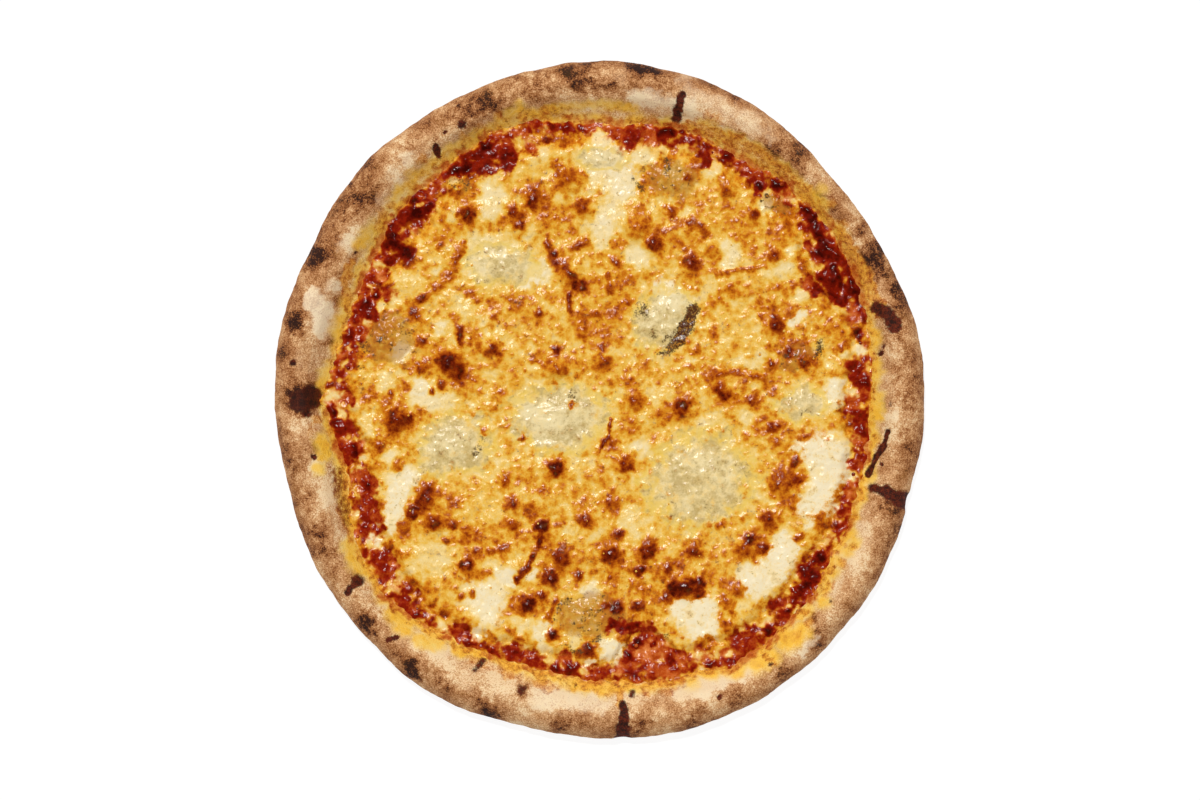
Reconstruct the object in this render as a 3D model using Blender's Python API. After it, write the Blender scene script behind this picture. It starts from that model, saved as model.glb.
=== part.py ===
"""A whole baked four cheese pizza: a dough base with a puffed rim, a film of tomato sauce, a blistered sheet of
melted cheese, and the soft cheese slices and blue cheese crumbles that have melted into it.

Lengths in this script are millimetres and become metres where the meshes are made. +Z is up, the origin is on the
underside of the base, below its middle, and angles run anticlockwise from +X. Each layer is a sheet over a closed
outline whose height is a function of x and y, cut from below by the piece that carries it.
"""

import math
from collections import namedtuple

import bmesh
import bpy
from mathutils import Vector, noise
from mathutils.geometry import delaunay_2d_cdt

MM = 0.001

# Driving dimensions.
BASE_THICKNESS = 4.0
RIM_HEIGHT = 17.0
RIM_CREST = 0.38
RIM_ROUNDNESS = 2.2
FOOT_INSET = 5.0
SAUCE_THICKNESS = 1.9
CHEESE_THICKNESS = 2.5
SEAT_DEPTH = 0.5
CLEARANCE = 0.3
WELD = 0.004

# Outlines as radii at equal steps round the pizza: the rim, and how far the sauce and the cheese were spread.
RIM_RADII = (
    146.0, 145.6, 144.0, 145.0, 148.8, 151.3, 152.2, 151.3, 149.8, 150.4, 146.7, 147.4,
    146.3, 145.6, 147.8, 149.8, 152.2, 150.9, 152.0, 153.2, 152.2, 150.2, 148.3, 145.6,
)
SAUCE_RADII = (
    122.5, 126.0, 129.0, 129.5, 127.5, 128.0, 126.0, 130.5, 128.0, 124.5, 121.5, 120.5,
    124.5, 119.5, 128.0, 131.0, 127.0, 125.5, 128.0, 130.5, 134.0, 131.0, 126.0, 124.5,
)
CHEESE_RADII = (
    112.0, 120.0, 113.5, 120.5, 120.0, 119.0, 120.0, 118.5, 121.0, 113.0, 112.0, 112.0,
    115.0, 111.0, 116.0, 120.5, 121.5, 118.0, 120.0, 122.0, 123.5, 120.5, 119.0, 118.0,
)

# How finely the meshes follow these shapes.
SECTIONS = 144
SHEET_SPACING = 8.2
SLICE_SPACING = 4.4
FOOT_RINGS = (0.0, 3.6, 7.6)
CREST_RINGS = (0.3, 0.55, 0.76, 0.91)
TOP_EDGE_INSET = 0.6
OUTER_WALL = ((0.0, 7.6), (1.3, 4.0), (4.2, 1.1), (9.0, 0.0))
SAUCE_RINGS = (0.2, 3.8)
CHEESE_EDGE_RINGS = (1.6, 4.2)
SAUCE_FLOOR = 2.0
CHEESE_FLOOR = 4.8
SLICE_FLOOR = 7.2

# A rounded swelling that stands out of a surface: its middle, its radius and its height.
Blister = namedtuple("Blister", "x y radius height")
# A melted slice: its middle, its two half widths, its turn in degrees and its thickness.
Slice = namedtuple("Slice", "x y long wide turn thickness")
# A crease across the rim: its bearing in degrees and the radii between which it runs.
Crease = namedtuple("Crease", "bearing inner outer")
# A place where the cheese stopped short and the sauce shows: its bearing, half angle and depth.
Bay = namedtuple("Bay", "bearing half_angle depth")

CHEESE_BLISTERS = [
    Blister(x, y, radius, 0.30 * radius + 0.5)
    for x, y, radius in (
        (-67.5, 16.5, 7), (-80, 13.5, 3.5), (-51, 24, 5.5), (-19.5, 14, 6), (-20, -31, 5), (-58.5, 82.5, 4),
        (-30, 90, 4.5), (-38, 83.5, 3.5), (-36, 77, 3), (-13.5, 98, 5.5), (-7, 85.5, 4.5), (16, 77, 6.5),
        (23.5, 70, 5), (57, 93.5, 3.5), (68.5, 83, 4), (50.5, 67.5, 4), (40.5, 60.5, 4), (79, 64, 3.5),
        (-88, 65.5, 3.5), (-13.5, 56, 5.5), (1.5, 18.5, 5.5), (15.5, -1, 4), (37, -4, 4.5), (54.5, 4.5, 4),
        (54, 11.5, 3.5), (78, 33, 4), (77.5, -11.5, 3.5), (82, -37, 6), (11, -29.5, 3.5), (-76.5, -45, 5.5),
        (-74, -55.5, 5.5), (-84, -51, 3.5), (-60, -74.5, 3.5), (-38, -75.5, 3.5), (-17, -72, 4.5), (-22, -81, 4),
        (-33, -91.5, 4), (-26, -58, 3.5), (4.5, -69, 4.5), (21.5, -68.5, 4), (41.5, -67.5, 3.5), (38, -84, 6.5),
        (61, -85, 4), (65, -67, 5), (76.5, -54, 4), (18, -92.5, 3), (-91.5, -8.5, 5.5), (-7, -54, 3),
        (-39, -49, 3.5),
    )
]
SAUCE_BLISTERS = [
    Blister(x, y, radius, 0.32 * radius + 0.5)
    for x, y, radius in (
        (-93, 72.5, 5.5), (-84, 86, 5), (-95, 62.5, 3.5), (-61.5, 108, 4.5), (-42, 112.5, 4), (-52, 116, 4),
        (14.5, 117.5, 4.5), (30.5, 121.5, 5), (57, 111, 3.5), (83, 97.5, 4), (107, 66.5, 5.5), (104.5, 56, 5.5),
        (115, 51.5, 5), (98, 75.5, 3.5), (-118.5, -11.5, 4.5), (-112.5, -22, 4), (-92, -85.5, 3.5),
        (-76.5, -100, 3.5), (-48, -112.5, 3.5), (22.5, -123, 5), (64.5, -112.5, 4), (73, -105, 3.5),
        (91.5, -77.5, 4), (88, -86.5, 4), (98, -70, 3.5), (-23.5, 125, 4),
    )
]
RIM_BLISTERS = [
    Blister(-130.5, -1, 5.2, 3.6),
    Blister(121.5, 41, 3.6, 2.0),
    Blister(127, 37, 4.0, 2.4),
    Blister(130, 33.5, 2.6, 1.6),
    Blister(36, 133, 2.2, 1.5),
    Blister(36, 130, 2.2, 1.4),
    Blister(-109, -81.5, 4.0, 2.0),
    Blister(-112.5, -85.5, 2.2, 1.3),
    Blister(-35, -130, 2.6, 1.5),
    Blister(96, -98, 2.6, 1.5),
    Blister(97.5, -103.5, 2.2, 1.3),
    Blister(-61, 123, 3.0, 1.4),
]
CREASES = (Crease(274.2, 134.0, 158.0), Crease(341.8, 131.0, 152.0))
CREASE_DEPTH = 1.7
CREASE_HALF_WIDTH = 2.4
BAYS = (Bay(280.5, 9.0, 14.0), Bay(356.0, 7.0, 1.5), Bay(191.0, 5.0, 3.0), Bay(74.5, 5.0, 4.0))

SOFT_SLICES = (
    Slice(29.0, 36.5, 16.0, 14.0, 50.0, 1.9),
    Slice(-17.5, -8.0, 20.5, 13.5, 5.0, 1.8),
    Slice(-64.5, -19.5, 15.5, 13.0, 20.0, 1.8),
    Slice(45.0, -36.0, 25.0, 21.0, 15.0, 1.6),
    Slice(2.5, 108.0, 13.0, 9.0, -5.0, 1.5),
    Slice(-44.0, 61.5, 19.0, 12.0, -10.0, 1.5),
    Slice(90.0, -2.0, 14.0, 11.0, 10.0, 1.6),
)
BLUE_CRUMBLES = (
    Slice(-93.5, 27.5, 15.5, 12.5, 70.0, 2.3),
    Slice(-3.5, -97.0, 18.0, 13.0, 0.0, 2.3),
    Slice(32.0, 98.5, 14.5, 9.5, -12.0, 2.1),
    Slice(88.5, 18.5, 11.5, 6.8, 25.0, 2.4),
    Slice(-63.5, 95.5, 7.2, 5.2, -10.0, 2.2),
    Slice(77.5, 87.0, 7.8, 5.2, -25.0, 2.1),
)

DOUGH_COLOUR = (0.62, 0.36, 0.19, 1)
SAUCE_COLOUR = (0.30, 0.03, 0.01, 1)
CHEESE_COLOUR = (0.80, 0.48, 0.12, 1)
SOFT_CHEESE_COLOUR = (0.76, 0.66, 0.38, 1)
BLUE_CHEESE_COLOUR = (0.45, 0.33, 0.14, 1)


# Curves and shapes that the heights are built from.


def smooth_step(low, high, value):
    """0 below low, 1 above high, with a smooth rise between them."""
    share = min(1.0, max(0.0, (value - low) / (high - low)))
    return share * share * (3.0 - 2.0 * share)


def around(stations, angle):
    """The value at an angle, in radians, of stations at equal steps round a circle, as a Catmull-Rom spline."""
    place = angle / math.tau * len(stations)
    first = math.floor(place)
    t = place - first
    a, b, c, d = (stations[(first + k) % len(stations)] for k in (-1, 0, 1, 2))
    return b + 0.5 * t * (c - a + t * (2 * a - 5 * b + 4 * c - d + t * (3 * (b - c) + d - a)))


def ripple(x, y, wavelength, layer):
    """Smooth uneven ups and downs between about -1 and 1, the same on every run."""
    return noise.noise(Vector((x / wavelength, y / wavelength, 3.7 * layer)))


def polar(radius, angle):
    return radius * math.cos(angle), radius * math.sin(angle)


def section_angles():
    return [math.tau * k / SECTIONS for k in range(SECTIONS)]


def rim_radius(angle):
    x, y = polar(RIM_RADII[0], angle)
    return around(RIM_RADII, angle) + 0.6 * ripple(x, y, 14, 1)


def foot_radius(angle):
    """Where the inside slope of the rim meets the flat middle of the base."""
    return around(SAUCE_RADII, angle) - FOOT_INSET


def sauce_radius(angle):
    x, y = polar(SAUCE_RADII[0], angle)
    return around(SAUCE_RADII, angle) + 1.1 * ripple(x, y, 11, 2)


def cheese_radius(angle):
    x, y = polar(CHEESE_RADII[0], angle)
    radius = around(CHEESE_RADII, angle) + 1.8 * ripple(x, y, 12, 3)
    for bay in BAYS:
        apart = abs((math.degrees(angle) - bay.bearing + 180) % 360 - 180)
        radius -= bay.depth * (1 - smooth_step(0.2 * bay.half_angle, bay.half_angle, apart))
    return radius


def swelling(blister, x, y):
    """The height of one blister at a point: a dome that meets what carries it in a short fillet."""
    share = math.hypot(x - blister.x, y - blister.y) / blister.radius
    return blister.height * max(0.0, 1 - share * share) ** 0.75


def swellings(blisters, x, y):
    return max((swelling(b, x, y) for b in blisters), default=0.0)


def slice_share(piece, x, y):
    """How far out in a slice a point lies: 0 at its middle and 1 on its uneven outline."""
    turn = math.radians(piece.turn)
    dx, dy = x - piece.x, y - piece.y
    along = (dx * math.cos(turn) + dy * math.sin(turn)) / piece.long
    across = (dy * math.cos(turn) - dx * math.sin(turn)) / piece.wide
    share = math.hypot(along, across)
    if share < 1e-6:
        return 0.0
    return share / slice_waver(piece, along / share, across / share)


def slice_waver(piece, along, across):
    """How the outline of a slice strays from an ellipse, in the direction of a unit vector."""
    return 1 + 0.20 * noise.noise(Vector((1.3 * along, 1.3 * across, piece.x)))


# The height of each layer's upper face.


def rim_profile(share):
    """The rim's section as a share of its height, from 0 at its outer edge to 1 at the foot of its inside slope."""
    if share < RIM_CREST:
        return (1 - (1 - share / RIM_CREST) ** RIM_ROUNDNESS) ** (1 / RIM_ROUNDNESS)
    return 0.5 + 0.5 * math.cos(math.pi * min(1.0, (share - RIM_CREST) / (1 - RIM_CREST)))


def crease_depth(x, y):
    depth = 0.0
    for crease in CREASES:
        bearing = math.radians(crease.bearing)
        along = x * math.cos(bearing) + y * math.sin(bearing)
        across = y * math.cos(bearing) - x * math.sin(bearing)
        if crease.inner < along < crease.outer:
            start = smooth_step(crease.inner, crease.inner + 4, along)
            depth += CREASE_DEPTH * start * math.exp(-((across / (0.6 * CREASE_HALF_WIDTH)) ** 2))
    return depth


def crust_top(x, y):
    radius, angle = math.hypot(x, y), math.atan2(y, x)
    outer, foot = rim_radius(angle), foot_radius(angle)
    if radius <= foot:
        return BASE_THICKNESS
    share = max(0.0, (outer - radius) / (outer - foot))
    puff = 1 + 0.10 * ripple(x, y, 34, 5) + 0.07 * ripple(x, y, 17, 6)
    narrow = 0.72 + 0.28 * smooth_step(17, 30, outer - foot)
    rise = (RIM_HEIGHT - BASE_THICKNESS) * rim_profile(share) * puff * narrow
    return BASE_THICKNESS + rise + swellings(RIM_BLISTERS, x, y) - crease_depth(x, y)


def sauce_top(x, y):
    """The sauce is a film on the crust that ends where its thickness falls below nothing."""
    radius, angle = math.hypot(x, y), math.atan2(y, x)
    within = sauce_radius(angle) - radius
    thickness = (SAUCE_THICKNESS + 0.8) * smooth_step(-2.5, 5.0, within) - 0.8
    shown = smooth_step(-2.0, 1.0, radius - cheese_radius(angle))
    relief = swellings(SAUCE_BLISTERS, x, y) + 0.45 * ripple(x, y, 10, 7)
    return crust_top(x, y) + thickness + shown * relief * smooth_step(0.0, 3.0, within)


def cheese_top(x, y):
    """Melted cheese, thin at its edge, with blisters, and a flat seat below each slice that lies on it."""
    radius, angle = math.hypot(x, y), math.atan2(y, x)
    within = cheese_radius(angle) - radius
    thickness = (CHEESE_THICKNESS + 1.0) * smooth_step(-1.5, 4.5, within) - 1.0
    apart = min(smooth_step(1.14, 1.45, slice_share(piece, x, y)) for piece in SOFT_SLICES + BLUE_CRUMBLES)
    relief = swellings(CHEESE_BLISTERS, x, y) + 0.55 * ripple(x, y, 19, 8) + 0.35 * ripple(x, y, 11, 9)
    relief = apart * relief - (1 - apart) * SEAT_DEPTH
    below = BASE_THICKNESS + SAUCE_THICKNESS + 0.5 * max(0.0, crust_top(x, y) - BASE_THICKNESS)
    return below + thickness + relief * smooth_step(0.0, 4.0, within)


def soft_slice_top(piece, x, y):
    """A soft slice has melted to a low pillow with a lip at its outline."""
    share = slice_share(piece, x, y)
    seat = BASE_THICKNESS + SAUCE_THICKNESS + CHEESE_THICKNESS - SEAT_DEPTH
    pillow = 0.55 + 0.25 * ripple(x, y, 9, 10) + 0.45 * smooth_step(0.5, 0.85, share)
    return seat + piece.thickness * pillow * (1 - smooth_step(0.84, 1.02, share)) - 0.4 * smooth_step(0.9, 1.02, share)


def blue_crumble_top(piece, x, y):
    """A blue cheese crumble keeps its lumps."""
    share = slice_share(piece, x, y)
    seat = BASE_THICKNESS + SAUCE_THICKNESS + CHEESE_THICKNESS - SEAT_DEPTH
    lumps = 0.8 + 0.45 * ripple(x, y, 7, 11) + 0.2 * ripple(x, y, 4, 12)
    return seat + piece.thickness * lumps * (1 - smooth_step(0.7, 1.02, share)) - 0.4 * smooth_step(0.9, 1.02, share)


# Points that the meshes are made from.


def ring(radius_at, inset=0.0):
    """A closed ring of points, one for each section, a little way inside an outline."""
    return [polar(radius_at(angle) - inset, angle) for angle in section_angles()]


def blister_points(blister):
    """The crown of a blister and two rings round it, the outer one where it meets what carries it."""
    points = [(blister.x, blister.y)]
    sides = 8 if blister.radius > 4.7 else 7
    for share, offset in ((0.62, 0.0), (1.02, 0.5)):
        for k in range(sides):
            x, y = polar(share * blister.radius, math.tau * (k + offset) / sides)
            points.append((blister.x + x, blister.y + y))
    return points


def crease_points(crease):
    """Three lines of points along a crease: its bed and both its banks."""
    points = []
    bearing = math.radians(crease.bearing)
    steps = 7
    for k in range(steps):
        along = crease.inner + (crease.outer - crease.inner) * k / (steps - 1)
        for across in (-CREASE_HALF_WIDTH, 0.0, CREASE_HALF_WIDTH):
            points.append(
                (
                    along * math.cos(bearing) - across * math.sin(bearing),
                    along * math.sin(bearing) + across * math.cos(bearing),
                )
            )
    return points


def honeycomb(reach, spacing):
    """Points in rows that fill a square, shifted a little so that no row shows."""
    row_step = spacing * math.sqrt(0.75)
    rows = math.ceil(reach / row_step)
    columns = math.ceil(reach / spacing)
    points = []
    for row in range(-rows, rows + 1):
        for column in range(-columns, columns + 1):
            x = (column + 0.5 * (row % 2)) * spacing
            y = row * row_step
            points.append((x + 0.3 * spacing * ripple(x, y, 5, 13), y + 0.3 * spacing * ripple(x, y, 5, 14)))
    return points


def spread(wanted, keep_apart, taken=()):
    """The wanted points that lie at least a distance apart from each other and from those already taken."""
    cells = {}
    kept = []

    def near(x, y):
        column, row = int(x // keep_apart), int(y // keep_apart)
        for i in (-1, 0, 1):
            for j in (-1, 0, 1):
                for other in cells.get((column + i, row + j), ()):
                    if math.hypot(x - other[0], y - other[1]) < keep_apart:
                        return True
        return False

    def take(x, y):
        cells.setdefault((int(x // keep_apart), int(y // keep_apart)), []).append((x, y))

    for x, y in taken:
        take(x, y)
    for x, y in wanted:
        if not near(x, y):
            take(x, y)
            kept.append((x, y))
    return kept


def inside(points, radius_at, inset):
    return [(x, y) for x, y in points if math.hypot(x, y) < radius_at(math.atan2(y, x)) - inset]


# Meshes.


def sheet_solid(name, outline, inner, top_at, lower_loops):
    """One closed solid: a triangulated upper face over the outline, walls down the lower loops, and a flat floor."""
    flat = [Vector(point) for point in outline + inner]
    found, _, triangles, sources, _, _ = delaunay_2d_cdt(flat, [], [list(range(len(outline)))], 1, 1e-5)
    where = {source: index for index, group in enumerate(sources) for source in group}
    solid = bmesh.new()
    top = [solid.verts.new(Vector((p.x, p.y, top_at(p.x, p.y))) * MM) for p in found]
    for triangle in triangles:
        solid.faces.new([top[index] for index in triangle])
    upper = [top[where[k]] for k in range(len(outline))]
    for loop in lower_loops:
        lower = [solid.verts.new(Vector(point) * MM) for point in loop]
        for k in range(len(loop)):
            after = (k + 1) % len(loop)
            solid.faces.new((upper[k], lower[k], lower[after], upper[after]))
        upper = lower
    solid.faces.new(list(reversed(upper)))
    bmesh.ops.delete(solid, geom=[v for v in solid.verts if not v.link_faces], context="VERTS")
    bmesh.ops.recalc_face_normals(solid, faces=solid.faces)
    mesh = bpy.data.meshes.new(name)
    solid.to_mesh(mesh)
    solid.free()
    mesh.shade_smooth()
    mesh.set_sharp_from_angle(angle=math.radians(50))
    thing = bpy.data.objects.new(name, mesh)
    bpy.context.collection.objects.link(thing)
    return thing


def tidy_cut(mesh):
    """Joins the points that a cut leaves closer than a hair, and drops the crumbs beside the main piece."""
    solid = bmesh.new()
    solid.from_mesh(mesh)
    bmesh.ops.remove_doubles(solid, verts=solid.verts, dist=WELD * MM)
    bmesh.ops.dissolve_degenerate(solid, edges=solid.edges, dist=WELD * MM)
    islands, seen = [], set()
    for start in solid.verts:
        if start in seen:
            continue
        island, waiting = [], [start]
        seen.add(start)
        while waiting:
            vertex = waiting.pop()
            island.append(vertex)
            for edge in vertex.link_edges:
                other = edge.other_vert(vertex)
                if other not in seen:
                    seen.add(other)
                    waiting.append(other)
        islands.append(island)
    largest = max(islands, key=len)
    crumbs = [vertex for island in islands if island is not largest for vertex in island]
    bmesh.ops.delete(solid, geom=crumbs, context="VERTS")
    solid.to_mesh(mesh)
    solid.free()


def lay_on(layer, *carriers):
    """Cuts a layer from below by the pieces that carry it, raised by the clearance, so that it rests on them."""
    cutters = []
    for carrier in carriers:
        cutter = bpy.data.objects.new("cutter", carrier.data)
        cutter.location.z = CLEARANCE * MM
        cutter.hide_render = True
        cutter.display_type = "WIRE"
        bpy.context.collection.objects.link(cutter)
        cut = layer.modifiers.new("lay_on", "BOOLEAN")
        cut.operation = "DIFFERENCE"
        cut.solver = "EXACT"
        cut.object = cutter
        cutters.append(cutter)
    bpy.context.view_layer.update()
    graph = bpy.context.evaluated_depsgraph_get()
    raw = layer.data
    layer.data = bpy.data.meshes.new_from_object(layer.evaluated_get(graph))
    layer.data.name = layer.name
    layer.modifiers.clear()
    bpy.data.meshes.remove(raw)
    for cutter in cutters:
        bpy.data.objects.remove(cutter)
    tidy_cut(layer.data)


def finish(name, colour, roughness):
    """A material with the piece's colour and gloss."""
    material = bpy.data.materials.new(name)
    material.use_nodes = True
    shader = material.node_tree.nodes["Principled BSDF"]
    shader.inputs["Base Color"].default_value = colour
    shader.inputs["Roughness"].default_value = roughness
    shader.inputs["Metallic"].default_value = 0.0
    return material


# The pieces.


def make_crust():
    """The baked base: flat in the middle, with a puffed rim whose outer wall curls under to the flat underside."""

    def edge_radius(angle):
        return rim_radius(angle) - TOP_EDGE_INSET

    details = [point for blister in RIM_BLISTERS for point in blister_points(blister)]
    details += [point for crease in CREASES for point in crease_points(crease)]
    rings = [point for inset in FOOT_RINGS for point in ring(foot_radius, -inset)]
    for share in CREST_RINGS:
        for angle in section_angles():
            start = foot_radius(angle) + FOOT_RINGS[-1]
            rings.append(polar(start + share * (edge_radius(angle) - start), angle))
    outline = ring(edge_radius)
    details = inside(details, edge_radius, 1.0)
    inner = details + spread(inside(rings, edge_radius, 0.9), 1.9, details)
    wall = []
    for inset, height in OUTER_WALL:
        loop = []
        for angle in section_angles():
            x, y = polar(rim_radius(angle) - inset, angle)
            bulge = 0.5 * ripple(x, y, 16, 15) * smooth_step(0.0, 4.0, height)
            loop.append((x * (1 + bulge / 150), y * (1 + bulge / 150), height))
        wall.append(loop)
    return sheet_solid("crust", outline, inner, crust_top, wall)


def make_sauce(crust):
    """The sauce runs below the whole sheet of cheese and shows as a dark blistered ring outside it."""

    def edge_radius(angle):
        return sauce_radius(angle) + 2.5

    outline = ring(edge_radius)
    details = [point for blister in SAUCE_BLISTERS for point in blister_points(blister)]
    details = inside(details, edge_radius, 1.2)
    rings = [point for offset in SAUCE_RINGS for point in ring(foot_radius, -offset)]
    rings += ring(cheese_radius, 0.5)
    inner = details + spread(inside(rings, edge_radius, 1.6), 2.6, details)
    floor = [(x, y, SAUCE_FLOOR) for x, y in outline]
    sauce = sheet_solid("tomato_sauce", outline, inner, sauce_top, [floor])
    lay_on(sauce, crust)
    return sauce


def make_cheese(sauce, crust):
    """The melted cheese: one sheet with its large browned blisters fused on."""

    def edge_radius(angle):
        return cheese_radius(angle) + 0.8

    outline = ring(edge_radius)
    pieces = SOFT_SLICES + BLUE_CRUMBLES
    details = [point for blister in CHEESE_BLISTERS for point in blister_points(blister)]
    details += [point for inset in CHEESE_EDGE_RINGS for point in ring(cheese_radius, inset)]
    details = spread(inside(details, edge_radius, 1.2), 1.7)
    between = inside(honeycomb(RIM_RADII[0], SHEET_SPACING), cheese_radius, 8.0)
    between = [p for p in between if min(slice_share(piece, *p) for piece in pieces) > 1.2]
    seats = [point for piece in pieces for share in (0.94, 1.16) for point in slice_ring(piece, share)]
    seats = inside(seats, edge_radius, 2.5)
    inner = details + spread(seats, 2.2, details)
    inner += spread(between, 0.62 * SHEET_SPACING, inner)
    floor = [(x, y, CHEESE_FLOOR) for x, y in outline]
    cheese = sheet_solid("melted_cheese", outline, inner, cheese_top, [floor])
    lay_on(cheese, sauce, crust)
    return cheese


def slice_ring(piece, share):
    """Points round a slice at a share of the way out to its outline."""
    turn = math.radians(piece.turn)
    sides = max(16, round(math.tau * max(piece.long, piece.wide) / SLICE_SPACING))
    points = []
    for k in range(sides):
        x, y = math.cos(math.tau * k / sides), math.sin(math.tau * k / sides)
        reach = share * slice_waver(piece, x, y)
        along = reach * piece.long * x
        across = reach * piece.wide * y
        points.append(
            (
                piece.x + along * math.cos(turn) - across * math.sin(turn),
                piece.y + along * math.sin(turn) + across * math.cos(turn),
            )
        )
    return points


def make_slice(name, piece, top_at, cheese, sauce):
    """One slice or crumble that lies in its seat in the melted cheese."""
    outline = slice_ring(piece, 1.14)
    rings = slice_ring(piece, 1.02) + slice_ring(piece, 0.84)
    middle = [
        (piece.x + x, piece.y + y)
        for x, y in honeycomb(piece.long, SLICE_SPACING)
        if slice_share(piece, piece.x + x, piece.y + y) < 0.72
    ]
    inner = spread(rings + middle, 0.55 * SLICE_SPACING)
    floor = [(x, y, SLICE_FLOOR) for x, y in outline]
    thing = sheet_solid(name, outline, inner, lambda x, y: top_at(piece, x, y), [floor])
    lay_on(thing, cheese, sauce)
    return thing


def main():
    for thing in list(bpy.data.objects):
        bpy.data.objects.remove(thing)
    crust = make_crust()
    sauce = make_sauce(crust)
    cheese = make_cheese(sauce, crust)
    crust.data.materials.append(finish("baked_dough", DOUGH_COLOUR, 0.8))
    sauce.data.materials.append(finish("tomato_sauce", SAUCE_COLOUR, 0.3))
    cheese.data.materials.append(finish("melted_cheese", CHEESE_COLOUR, 0.35))
    soft = finish("soft_cheese", SOFT_CHEESE_COLOUR, 0.4)
    blue = finish("blue_cheese", BLUE_CHEESE_COLOUR, 0.45)
    for number, piece in enumerate(SOFT_SLICES, 1):
        make_slice(f"soft_cheese_{number}", piece, soft_slice_top, cheese, sauce).data.materials.append(soft)
    for number, piece in enumerate(BLUE_CRUMBLES, 1):
        make_slice(f"blue_cheese_{number}", piece, blue_crumble_top, cheese, sauce).data.materials.append(blue)


main()
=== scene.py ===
"""The looks of a whole baked four cheese pizza, laid out as an add-on.

Each operator makes one layer over the solids. Every height starts from the solid that a piece stands for and
gets the fine relief that baking gives it. Lists named for a finish say where it lies: each entry has its
place on the photo in pixels and its size in millimetres. Lengths in the shapes are millimetres and become
metres where a mesh is made. Bearings run anticlockwise from +X, in radians but for the key light's.
"""

import functools
import math

import bmesh
import bpy
import numpy as np
from bpy.props import FloatProperty, FloatVectorProperty, IntProperty, PointerProperty
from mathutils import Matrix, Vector
from mathutils.bvhtree import BVHTree


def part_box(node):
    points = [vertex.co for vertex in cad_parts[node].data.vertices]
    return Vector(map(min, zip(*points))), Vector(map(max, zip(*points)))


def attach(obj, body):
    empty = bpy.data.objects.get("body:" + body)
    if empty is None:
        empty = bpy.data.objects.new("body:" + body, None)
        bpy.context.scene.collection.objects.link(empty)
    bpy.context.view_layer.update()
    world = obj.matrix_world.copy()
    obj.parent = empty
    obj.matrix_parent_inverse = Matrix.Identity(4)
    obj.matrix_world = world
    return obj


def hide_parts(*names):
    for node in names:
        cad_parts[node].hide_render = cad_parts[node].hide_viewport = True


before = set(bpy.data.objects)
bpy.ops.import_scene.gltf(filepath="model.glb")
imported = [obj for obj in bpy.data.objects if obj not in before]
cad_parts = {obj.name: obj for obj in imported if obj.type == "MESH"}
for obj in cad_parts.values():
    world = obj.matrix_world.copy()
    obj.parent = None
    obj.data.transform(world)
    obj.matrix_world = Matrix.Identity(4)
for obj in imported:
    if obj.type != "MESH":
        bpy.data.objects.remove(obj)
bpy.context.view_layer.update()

bl_info = {
    "name": "Four cheese pizza",
    "version": (1, 0, 0),
    "blender": (4, 5, 0),
    "location": "View3D > Sidebar > Pizza",
    "description": "Dresses the solids of a baked four cheese pizza",
    "category": "Object",
}

# A millimetre in metres, a pixel of the photo in millimetres, and the pixel that shows the pizza's middle.
MM = 0.001
PIXEL = 0.45
PHOTO_MIDDLE = (600.0, 399.5)

# How finely the solids are measured.
MEASURED_BEARINGS = 360
OUTLINE_SECTIONS = 144
SLICE_BEARINGS = 72
LEVEL_SPACING = 1.5
LEVEL_MARGIN = 9.0
LEVEL_SOFTNESS = 0.9

# Where the rays that measure them start: above everything, and out from the pizza's or a slice's middle.
RAY_HEIGHT = 60.0
RAY_RADIUS = 200.0
SLICE_RAY_RADIUS = 60.0

# How finely the layers are meshed.
BEARINGS = 1080
CHEESE_GRID = 298
SLICE_GRID = 44
SAUCE_RINGS = 46
RIM_SPACING = 0.6

# Where the dough's rings lie: how far in they start on top, the heights down the wall, the insets under the
# base, a ring on the rim's inner slope, which faces up, and the hidden ring below the sauce.
RIM_BAND = 33.0
WALL_HEIGHTS = (9.0, 8.2, 7.4, 6.6, 5.8, 5.0, 4.2, 3.4, 2.6, 1.9, 1.3, 0.8, 0.4)
FOOT_INSETS = (
    8.0, 10.5, 16.0, 22.0, 28.0, 34.0, 40.0, 48.0, 56.0, 64.0, 72.0, 80.0, 90.0, 100.0, 110.0, 120.0, 130.0,
    138.0,
)
SLOPE_RING = 20
HIDDEN_RADIUS = 60.0

# Where the sauce and the cheese end below, and how much narrower a sheet is below than on top.
SAUCE_INNER = 98.0
SAUCE_UNDERSIDE = 4.2
CHEESE_UNDERSIDE = 5.2
UNDERSIDE_SHARE = 0.97

# The noise's lattice repeats after this many cells, and starts away from the pizza's middle.
NOISE_LATTICE = 256
NOISE_SHIFT = (91.3, 57.1)

# An index into a row of samples stops this far short of its length, so that one more sample follows it.
LAST_CELL = 1.001

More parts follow.
